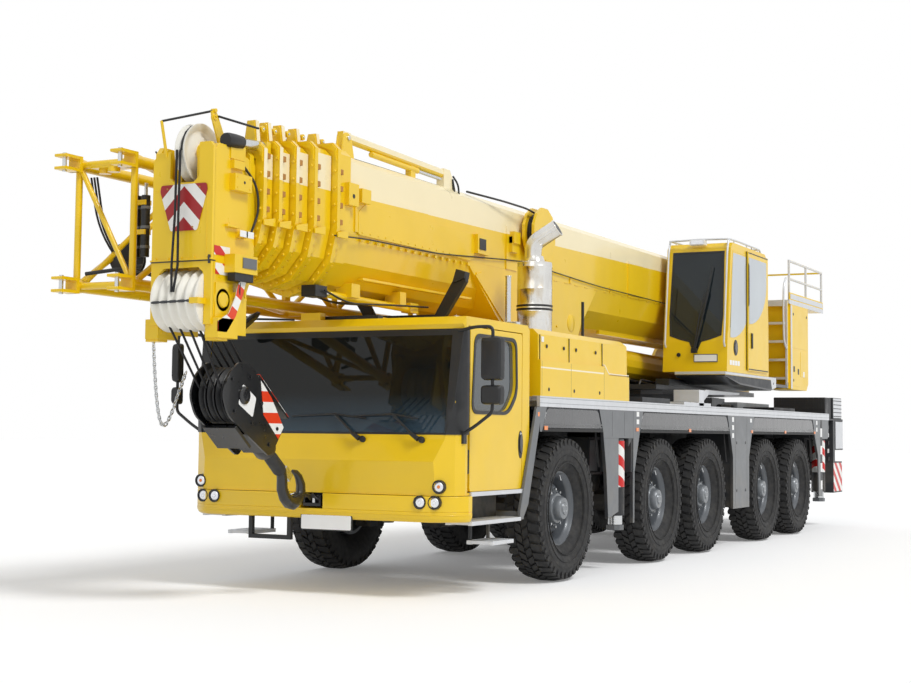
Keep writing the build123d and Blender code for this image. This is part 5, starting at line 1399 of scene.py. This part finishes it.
# ---------------------------------------------------------------- superstructure
upper = Piece("platform_edges", "superstructure", "tread_aluminium", ALUMINIUM, bevel=0.002)
upper.side(band(4.945, 7.255, 2.15, 2.182), 1.34, 1.354)
upper.box(0.7, 1.354, 4.942, 4.96, 2.15, 2.183)
upper.side([(7.05, 2.02), (7.25, 2.05), (7.25, 2.178), (6.98, 2.178)], 1.3505, 1.355)
upper.bolt(at(1.35, 7.12, 2.1), ACROSS, 0.018, 0.006, 6, BLACK)
upper.side([(5.62, 2.06), (6.95, 2.02), (7.24, 2.07), (7.24, 2.145), (4.96, 2.145), (4.96, 2.135)], 1.342,
    1.3515, DARK)
upper.box(0.72, 1.345, 4.952, 5.6, 2.175, 2.181, PLATE)
for x in (0.984, 1.323):
    upper.box(x, x + 0.03, 7.845, 7.86, 2.06, 3.3)
    upper.pipe([(x + 0.015, s, z) for s, z in ((7.84, 2.62), (7.72, 2.72), (7.7, 3.1), (7.72, 3.5),
        (7.84, 3.62))], 0.014, 0.1, 12)
for k in range(5):
    z = 2.18 + 0.26 * k
    upper.box(1.0, 1.34, 7.848, 7.862, z + 0.004, z + 0.038)
    upper.box(1.0, 1.34, 7.862, 7.95, z + 0.034, z + 0.038, PLATE)
upper.boxes([(1.363, 1.3765, 7.895, 9.805, 3.255, 3.315), (0.49, 1.37, 7.885, 7.9, 3.262, 3.308)])
upper.box(0.49, 1.36, 7.9, 9.8, 3.309, 3.314, PLATE)
upper.box(1.3765, 1.379, 7.93, 9.77, 3.33, 3.4)
for a, b in [((s, 3.31), (s, 3.885)) for s in (7.93, 8.85, 9.77)] + \
        [((7.925, z), (9.775, z)) for z in (3.6125, 3.8675)]:
    upper.bar((1.3575, *a), (1.3575, *b), 0.0165, 14)
upper.done()

engine = Piece("superstructure_fittings", "superstructure", "black_trim", PAINT, bevel=0.003)
for door in ((8.02, 8.42, 2.1, 2.6, 0.02), (8.46, 8.86, 2.24, 2.6, 0.02), (8.02, 8.86, 2.64, 3.22, 0.03)):
    engine.side(rect(*door), 1.374, 1.3785)
for s, z in ((8.08, 3.12), (8.8, 3.12), (8.08, 2.18)):
    engine.lathe([(-0.003, 0.02), (0.003, 0.02), (0.003, 0.0)], at(1.3785, s, z), ACROSS, 16, BLACK)
for k, (s, look) in enumerate(((8.07, BLACK), (8.3, BLACK), (8.6, LABEL))):
    engine.box(1.3785, 1.381, s, s + 0.07, 2.3 - 0.03 * k, 2.38 - 0.03 * k, look)
# dark box and hoses beside the boom foot, hoses over the turntable
engine.box(0.6, 0.96, 8.0, 8.7, 2.2, 2.55, DARK)
for k in range(6):
    engine.pipe([(0.52 + 0.02 * k, 7.3, 2.1 + 0.015 * k), (0.56 + 0.02 * k, 7.7, 2.16 + 0.02 * k),
        (0.62 + 0.03 * k, 7.98, 2.28 + 0.02 * k)], 0.013, 0.15, 8, BLACK)
for k in range(5):
    engine.pipe([(-0.35 + 0.17 * k, 4.66, 2.0), (-0.35 + 0.17 * k, 4.72, 2.08), (-0.3 + 0.15 * k, 5.5, 2.05),
        (-0.3 + 0.15 * k, 6.4, 2.06)], 0.016, 0.1, 8, BLACK)
# pins of the boom's foot, edges of the base plate, bolts of the slewing ring
for side in (1, -1):
    foot_pin = at(side * 0.485, 8.45, 3.15), (side, 0, 0)
    engine.circle_of_bolts(*foot_pin, 0.24, 8, 0.014, 0.014, CAST)
    engine.lathe([(0.0, 0.155), (0.012, 0.15), (0.012, 0.095), (0.026, 0.09), (0.026, 0.0)], *foot_pin, 32)
    engine.side(rect(6.55, 8.6, 2.0, 2.03), side * 0.485, side * 0.505, DARK)
engine.circle_of_bolts(at(0, 5.53, 1.948), UPRIGHT, 1.3, 36, 0.016, 0.02, CAST)
engine.side(rect(7.945, 8.02, 2.06, 3.24), 1.374, 1.3785, ALUMINIUM)
engine.done()

hoist = Piece("winch_rope", "superstructure", "rope_steel", ROPE)
winding = [(-0.0085, 0.247), (-0.0045, 0.2545), (0.0045, 0.2545), (0.0085, 0.247)]
for k in range(34):
    hoist.lathe(winding, at(-0.362 + 0.0219 * k, 9.45, 2.9), ACROSS, 28)
for side in (1, -1):
    hoist.lathe([(0.376, 0.3), (0.402, 0.304), (0.402, 0.0)], at(0, 9.45, 2.9), (side, 0, 0), 40, PAINT)
    hoist.circle_of_bolts(at(side * 0.402, 9.45, 2.9), (side, 0, 0), 0.46, 10, 0.012, 0.01, CAST)
hoist.done()


# ---------------------------------------------------------------- carrier deck and bodywork
TOP, ARCH = 1.638, 1.41             # upper edge of the side panels, edge of the wheel arches
SKIN, SHEET = 1.3685, 0.004         # face under the side panels' sheets, their thickness
RAIL = 1.3765                       # outer face of the deck rail
JACK_X = 1.275
side_rail = Piece("deck_rails", "carrier", "tread_aluminium", ALUMINIUM)
grooved = [(1.344, TOP), (RAIL, TOP), (RAIL, 1.668), (1.372, 1.672), (RAIL, 1.676), (RAIL, 1.716),
    (1.372, 1.72), (RAIL, 1.724), (RAIL, 1.736), (1.3, 1.736), (1.3, 1.7305), (1.344, 1.7305)]
for side in (1, -1):
    side_rail.front([(side * x, z) for x, z in grooved], -0.702, 10.132)
    for k in range(46):
        s = -0.6 + 0.23 * k
        side_rail.box(side * 1.318, side * 1.326, s, s + 0.028, 1.736, 1.739)
side_rail.done()

guards = ((-0.64, 0.86), (1.9, 5.09), (6.03, 9.26))
passages = {1: ((1.282, 1.575), (9.717, 10.01)), -1: ((0.975, 1.268), (9.41, 9.703))}
flaps = Piece("mudguard_skins", "carrier", "chassis_grey", GLOSS_DARK, bevel=0.003)
plates = Piece("body_panels", "carrier", "body_grey", GREY, bevel=0.002)
labels = Piece("carrier_labels", "carrier", "lamp_housing", LABEL)


def narrowing(s0, s1, low_inset, top_inset, z0, z1):
    """An outline between two stations, drawn in by one amount at its foot and by another on top."""
    return [(s0 + low_inset, z0), (s1 - low_inset, z0), (s1 - top_inset, z1), (s0 + top_inset, z1)]


def sheet(side, *outline):
    """A side panel's sheet from (station, height) points."""
    plates.side(outline, side * SKIN, side * (SKIN + SHEET))


for side in (1, -1):
    for s0, s1 in guards:
        flaps.side(softened(narrowing(s0, s1, 0.02, 0.125, 1.442, TOP - 0.012), 0.05), side * 1.359,
            side * 1.3665)
        for z in (1.446, 1.474):
            flaps.side(narrowing(s0, s1, 0.025, 0.032, z, z + 0.016), side * 1.359, side * 1.3735)
        flaps.side(narrowing(s0, s1, 0.012, 0.02, ARCH, ARCH + 0.032), side * 1.358, side * 1.3735, GASKET)
        for end, way in ((s0, 1), (s1, -1)):
            flaps.side([(end + way * 0.01, ARCH), (end + way * 0.06, ARCH), (end - way * 0.04, 1.06),
                (end - way * 0.09, 1.06)], side * 1.3, side * 1.306, GASKET)
    (f0, f1), (r0, r1) = passages[side]
    sheet(side, (0.755, TOP), (1.7, TOP), (1.7, 1.352), (0.874, 1.352), (0.862, ARCH))
    if side > 0:
        sheet(side, (0.874, 1.35), (0.95, 1.0), (1.0, 0.545), (f0 - 0.003, 0.605), (f0 - 0.003, 1.35))
        plates.side([(9.46, 1.1), (9.5, 0.5), (r0 - 0.003, 0.49), (r0 - 0.003, 1.35), (9.3, 1.35)],
            SKIN - 0.012, SKIN + SHEET)
        for k in range(4):
            labels.box(1.3726, 1.3746, 9.6, 9.7, 0.6 + 0.26 * k, 0.73 + 0.26 * k)
            labels.box(1.3726, 1.3736, 9.6, 9.7, 0.73 + 0.26 * k, 0.86 + 0.26 * k, BLACK)
    else:
        sheet(side, (f1 + 0.003, 0.605), (1.345, 0.622), (1.345, 1.098), (1.69, 1.35), (f1 + 0.003, 1.35))
        sheet(side, (r1 + 0.003, 1.11), (10.03, 1.35), (r1 + 0.003, 1.35))
    sheet(side, (1.705, TOP), (2.005, TOP), (1.895, ARCH), (1.742, 1.0), (1.737, 0.472), (1.705, 0.472))
    sheet(side, (4.985, TOP), (6.135, TOP), (6.025, ARCH), (5.9, 1.12), (5.9, 0.48), (5.21, 0.48),
        (5.21, 1.12), (5.095, ARCH))
    sheet(side, (9.155, TOP), (10.1, TOP), (10.1, 1.402), (10.03, 1.352), (9.29, 1.352), (9.265, ARCH))
    sheet(side, (-0.69, TOP), (-0.535, TOP), (-0.645, ARCH), (-0.69, ARCH))
    for s, z0, z1 in ((5.3, 0.5, 1.62), (5.8, 0.5, 1.62), (1.44, 1.37, 1.62), (1.1, 1.37, 1.62),
            (9.7, 1.37, 1.62)):
        plates.box(side * (SKIN + SHEET), side * (SKIN + 0.0045), s, s + 0.006, z0, z1, FRAME_DARK)
    for s, z in ((5.36, 1.3), (5.36, 0.7), (5.74, 1.3), (5.74, 0.7)):
        plates.lathe(button(0.02, 0.003, 0.002), at(side * (SKIN + SHEET), s, z), (side, 0, 0), 14, BLACK)
    for s, z, h in ((1.8, 1.58, 0.05), (1.8, 1.5, 0.05), (5.17, 1.56, 0.06), (5.17, 1.46, 0.06),
            (5.17, 1.36, 0.06), (9.35, 1.56, 0.06), (9.35, 1.46, 0.06), (5.95, 1.56, 0.05)):
        labels.box(side * 1.3727, side * 1.3739, s, s + 0.075, z, z + h)
    for s in (-0.6, 1.78, 3.5, 5.99, 7.6, 9.22):
        labels.box(side * 1.3735, side * 1.378, s, s + 0.075, 1.425, 1.462, AMBER)
    for k in range(5):
        labels.box(side * 1.352, side * 1.372, 10.105, 10.13, 1.02 + 0.12 * k, 1.08 + 0.12 * k,
            LABEL if k % 2 else BLACK)
flaps.done()
plates.done()
labels.done()

# striped sleeves of the jacks, a hose at each, and the jacks' bright feet
for tag, side in SIDES:
    for end, (s0, s1) in zip(("front", "rear"), passages[side]):
        mid = (s0 + s1) / 2
        jack = at(side * JACK_X, mid, 0), UPRIGHT
        beam = Piece(f"beam_{end}_{tag}_stripes", f"outrigger_beam_{end}_{tag}", "body_grey", JACK_BARS,
            bevel=0.002)
        beam.lathe(band(0.85, 1.325, 0.0935, 0.0975), *jack, 28, hollow=True)
        beam.lathe(band(0.56, 0.85, 0.0935, 0.0972), *jack, 28, FRAME_DARK, hollow=True)
        beam.pipe([(side * 1.21, mid + 0.11, 1.3), (side * 1.3, mid + 0.115, 1.28),
            (side * 1.3, mid + 0.11, 1.05)], 0.01, 0.03, 8, BLACK)
        beam.done()
        foot = Piece(f"jack_{end}_{tag}_foot", f"outrigger_jack_{end}_{tag}", "cylinder_steel", STEEL)
        foot.lathe(band(0.466, 0.556, 0.0735, 0.0765), *jack, 24, hollow=True)
        foot.done()

# boxes, hoses and brackets on the deck
gear = Piece("deck_gear", "carrier", "chassis_grey", ALUMINIUM, bevel=0.003)
for *sides_of_box, z1, look in ((0.55, 1.2, 1.75, 2.05, 1.87, DARK), (0.7, 1.25, 2.3, 3.2, 1.8, DARK),
        (-1.2, -0.74, 2.4, 3.6, 1.84, DARK), (0.75, 1.2, 7.7, 8.8, 1.79, MAT_TOP),
        (-1.15, -0.7, 7.2, 8.6, 1.85, DARK)):
    gear.box(*sides_of_box, 1.731, z1, look)
for k in range(7):
    gear.pipe([(0.3 - 0.09 * k, 1.6, 1.8), (0.35 - 0.09 * k, 2.6, 1.85 + 0.01 * (k % 2)),
        (0.3 - 0.08 * k, 4.0, 1.8), (0.25 - 0.07 * k, 4.72, 1.82)], 0.02, 0.3, 8, BLACK)
gear.box(1.05, 1.3, 3.55, 4.55, 1.735, 1.775)
for k in range(4):
    gear.box(1.07, 1.28, 3.6 + 0.24 * k, 3.62 + 0.24 * k, 1.775, 1.779, DARK)
gear.side([(4.45, 1.735), (4.62, 1.735), (5.0, 1.895), (6.3, 1.925), (6.3, 1.95), (4.9, 1.955),
    (4.55, 1.87)], 1.1, 1.125)
gear.box(0.98, 1.3, 4.1, 4.28, 1.735, 1.93)
for s0 in (7.0, 7.6, 8.2, 8.8):
    gear.bar((0.62, s0, 1.78), (0.62, s0 + 0.45, 1.78), 0.04, 14, DARK)
gear.done()

under = Piece("running_gear_fittings", "carrier", "chassis_grey", CAST)
for s in AXLES:
    for side in (1, -1):
        under.bar((side * 0.56, s, 0.72), (side * 0.56, s, 1.08), 0.06, 16)
        under.bar((side * 0.56, s, 1.06), (side * 0.56, s, 1.35), 0.043, 16, STEEL)
    under.lathe([(-0.19, 0.0), (-0.19, 0.13), (-0.12, 0.225), (0.1, 0.225), (0.16, 0.14), (0.2, 0.1),
        (0.2, 0.0)], at(0, s, TYRE_R), ALONG, 32)
    under.circle_of_bolts(at(0, s - 0.12, TYRE_R), AHEAD, 0.38, 12, 0.012, 0.014)
for a, b in zip(AXLES, AXLES[1:]):
    under.bar((0, a + 0.2, 0.74), (0, b - 0.2, 0.74), 0.045, 16)
under.bar((-0.58, -0.35, 0.6), (0.58, -0.35, 0.6), 0.024, 12)
under.done()

mats = Piece("support_mats_top", "carrier", "iron_black", MAT_TOP, bevel=0.002)
for side in (1, -1):
    mats.box(side * 0.502, side * 1.298, 10.182, 10.558, 1.985, 1.99)
    mats.side(rect(10.178, 10.182, 1.665, 1.985), side * 0.502, side * 1.298)
    for k in range(4):
        mats.box(side * 0.505, side * 1.302, 10.175, 10.56, 1.735 + 0.065 * k, 1.742 + 0.065 * k, BLACK)
    mats.box(side * 1.3, side * 1.304, 10.2, 10.54, 1.68, 1.98)
    mats.box(side * 1.3205, side * 1.3265, 10.62, 11.14, 1.68, 1.985, ALUMINIUM)
    for k in range(5):
        mats.box(side * 1.3265, side * 1.3285, 10.62, 11.14, 1.7 + 0.06 * k, 1.712 + 0.06 * k, DARK)
    mats.box(side * 1.3455, side * 1.3495, 10.66, 11.12, 1.2, 1.62, ALUMINIUM)
    mats.box(side * 1.3455, side * 1.3475, 10.52, 11.06, 0.54, 0.98, JACK_BARS)
mats.done()


# ---------------------------------------------------------------- camera, floor and light
def in_scene(name, data):
    """An object of its own in the scene."""
    obj = bpy.data.objects.new(name, data)
    bpy.context.scene.collection.objects.link(obj)
    return obj


camera = in_scene("camera", bpy.data.cameras.new("camera"))
bpy.context.scene.camera = camera
CAMERA_AT, GAZE = at(7.163, -13.628, 1.393), Vector((-0.457, 0.8865, 0.0724)).normalized()
ROLL = math.radians(0.578)
right = GAZE.cross(Vector(UPRIGHT)).normalized()
up = right.cross(GAZE)
across = right * math.cos(ROLL) + up * math.sin(ROLL)
upward = up * math.cos(ROLL) - right * math.sin(ROLL)
camera.matrix_world = Matrix.Translation(CAMERA_AT) @ Matrix((across, upward, -GAZE)).transposed().to_4x4()
camera.data.lens = 61.15
camera.data.shift_y = -0.0234
camera.data.clip_end = 400

FLOOR_REACH = 120
floor_mesh = bpy.data.meshes.new("studio_floor")
corners = rect(-FLOOR_REACH, FLOOR_REACH, -FLOOR_REACH, FLOOR_REACH)
floor_mesh.from_pydata([(x, y, 0) for x, y in corners], [], [(0, 1, 2, 3)])
floor = in_scene("studio_floor", floor_mesh)
# the floor glows a little for the camera and for mirrors only
floor_look = Look("studio_floor")
floor_look.put(floor_look.varied(colour(250, 250, 250), 0.004, 0.5), "Base Color")
floor_look.fixed(Roughness=0.9)
bright = floor_look.node("ShaderNodeEmission")
light_path = floor_look.node("ShaderNodeLightPath")
shown_to = floor_look.maths("MAXIMUM", light_path.outputs["Is Camera Ray"],
    light_path.outputs["Is Glossy Ray"])
floor_look.link(floor_look.maths("MULTIPLY", shown_to, 0.15), bright.inputs["Strength"])
together = floor_look.node("ShaderNodeAddShader")
floor_look.link(floor_look.shader.outputs["BSDF"], together.inputs[0])
floor_look.link(bright.outputs["Emission"], together.inputs[1])
floor_look.link(together.outputs["Shader"], floor_look.tree.nodes["Material Output"].inputs["Surface"])
floor_mesh.materials.append(floor_look.material)

# a soft sky lights the scene; the camera, mirrors and glass see plain white
world = bpy.data.worlds.new("studio")
bpy.context.scene.world = world
world.use_nodes = True
nodes, links = world.node_tree.nodes, world.node_tree.links
sky, white = nodes["Background"], nodes.new("ShaderNodeBackground")
for light, tint, strength in ((sky, (0.97, 0.985, 1.0, 1), 0.5), (white, (1, 1, 1, 1), 1.0)):
    light.inputs["Color"].default_value = tint
    light.inputs["Strength"].default_value = strength
path = nodes.new("ShaderNodeLightPath")
seen, seen_or_through = (nodes.new("ShaderNodeMath") for _ in range(2))
mixer = nodes.new("ShaderNodeMixShader")
for sum_of, first, ray in ((seen, path.outputs["Is Camera Ray"], "Is Glossy Ray"),
        (seen_or_through, seen.outputs[0], "Is Transmission Ray")):
    sum_of.operation = "MAXIMUM"
    links.new(first, sum_of.inputs[0])
    links.new(path.outputs[ray], sum_of.inputs[1])
for k, source in enumerate((seen_or_through, sky, white)):
    links.new(source.outputs[0], mixer.inputs[k])
links.new(mixer.outputs[0], nodes["World Output"].inputs["Surface"])


def sun(name, direction, power, softness):
    """Sunlight along a direction; softness is its width in degrees."""
    data = bpy.data.lights.new(name, "SUN")
    data.energy, data.angle = power, math.radians(softness)
    in_scene(name, data).rotation_euler = Vector(direction).to_track_quat("-Z", "Y").to_euler()


bpy.context.scene.view_settings.view_transform = "Standard"
sun("key", (-0.85, 0.3, -1.0), 1.7, 16)
sun("front", (-0.1, 0.95, -0.5), 0.15, 30)
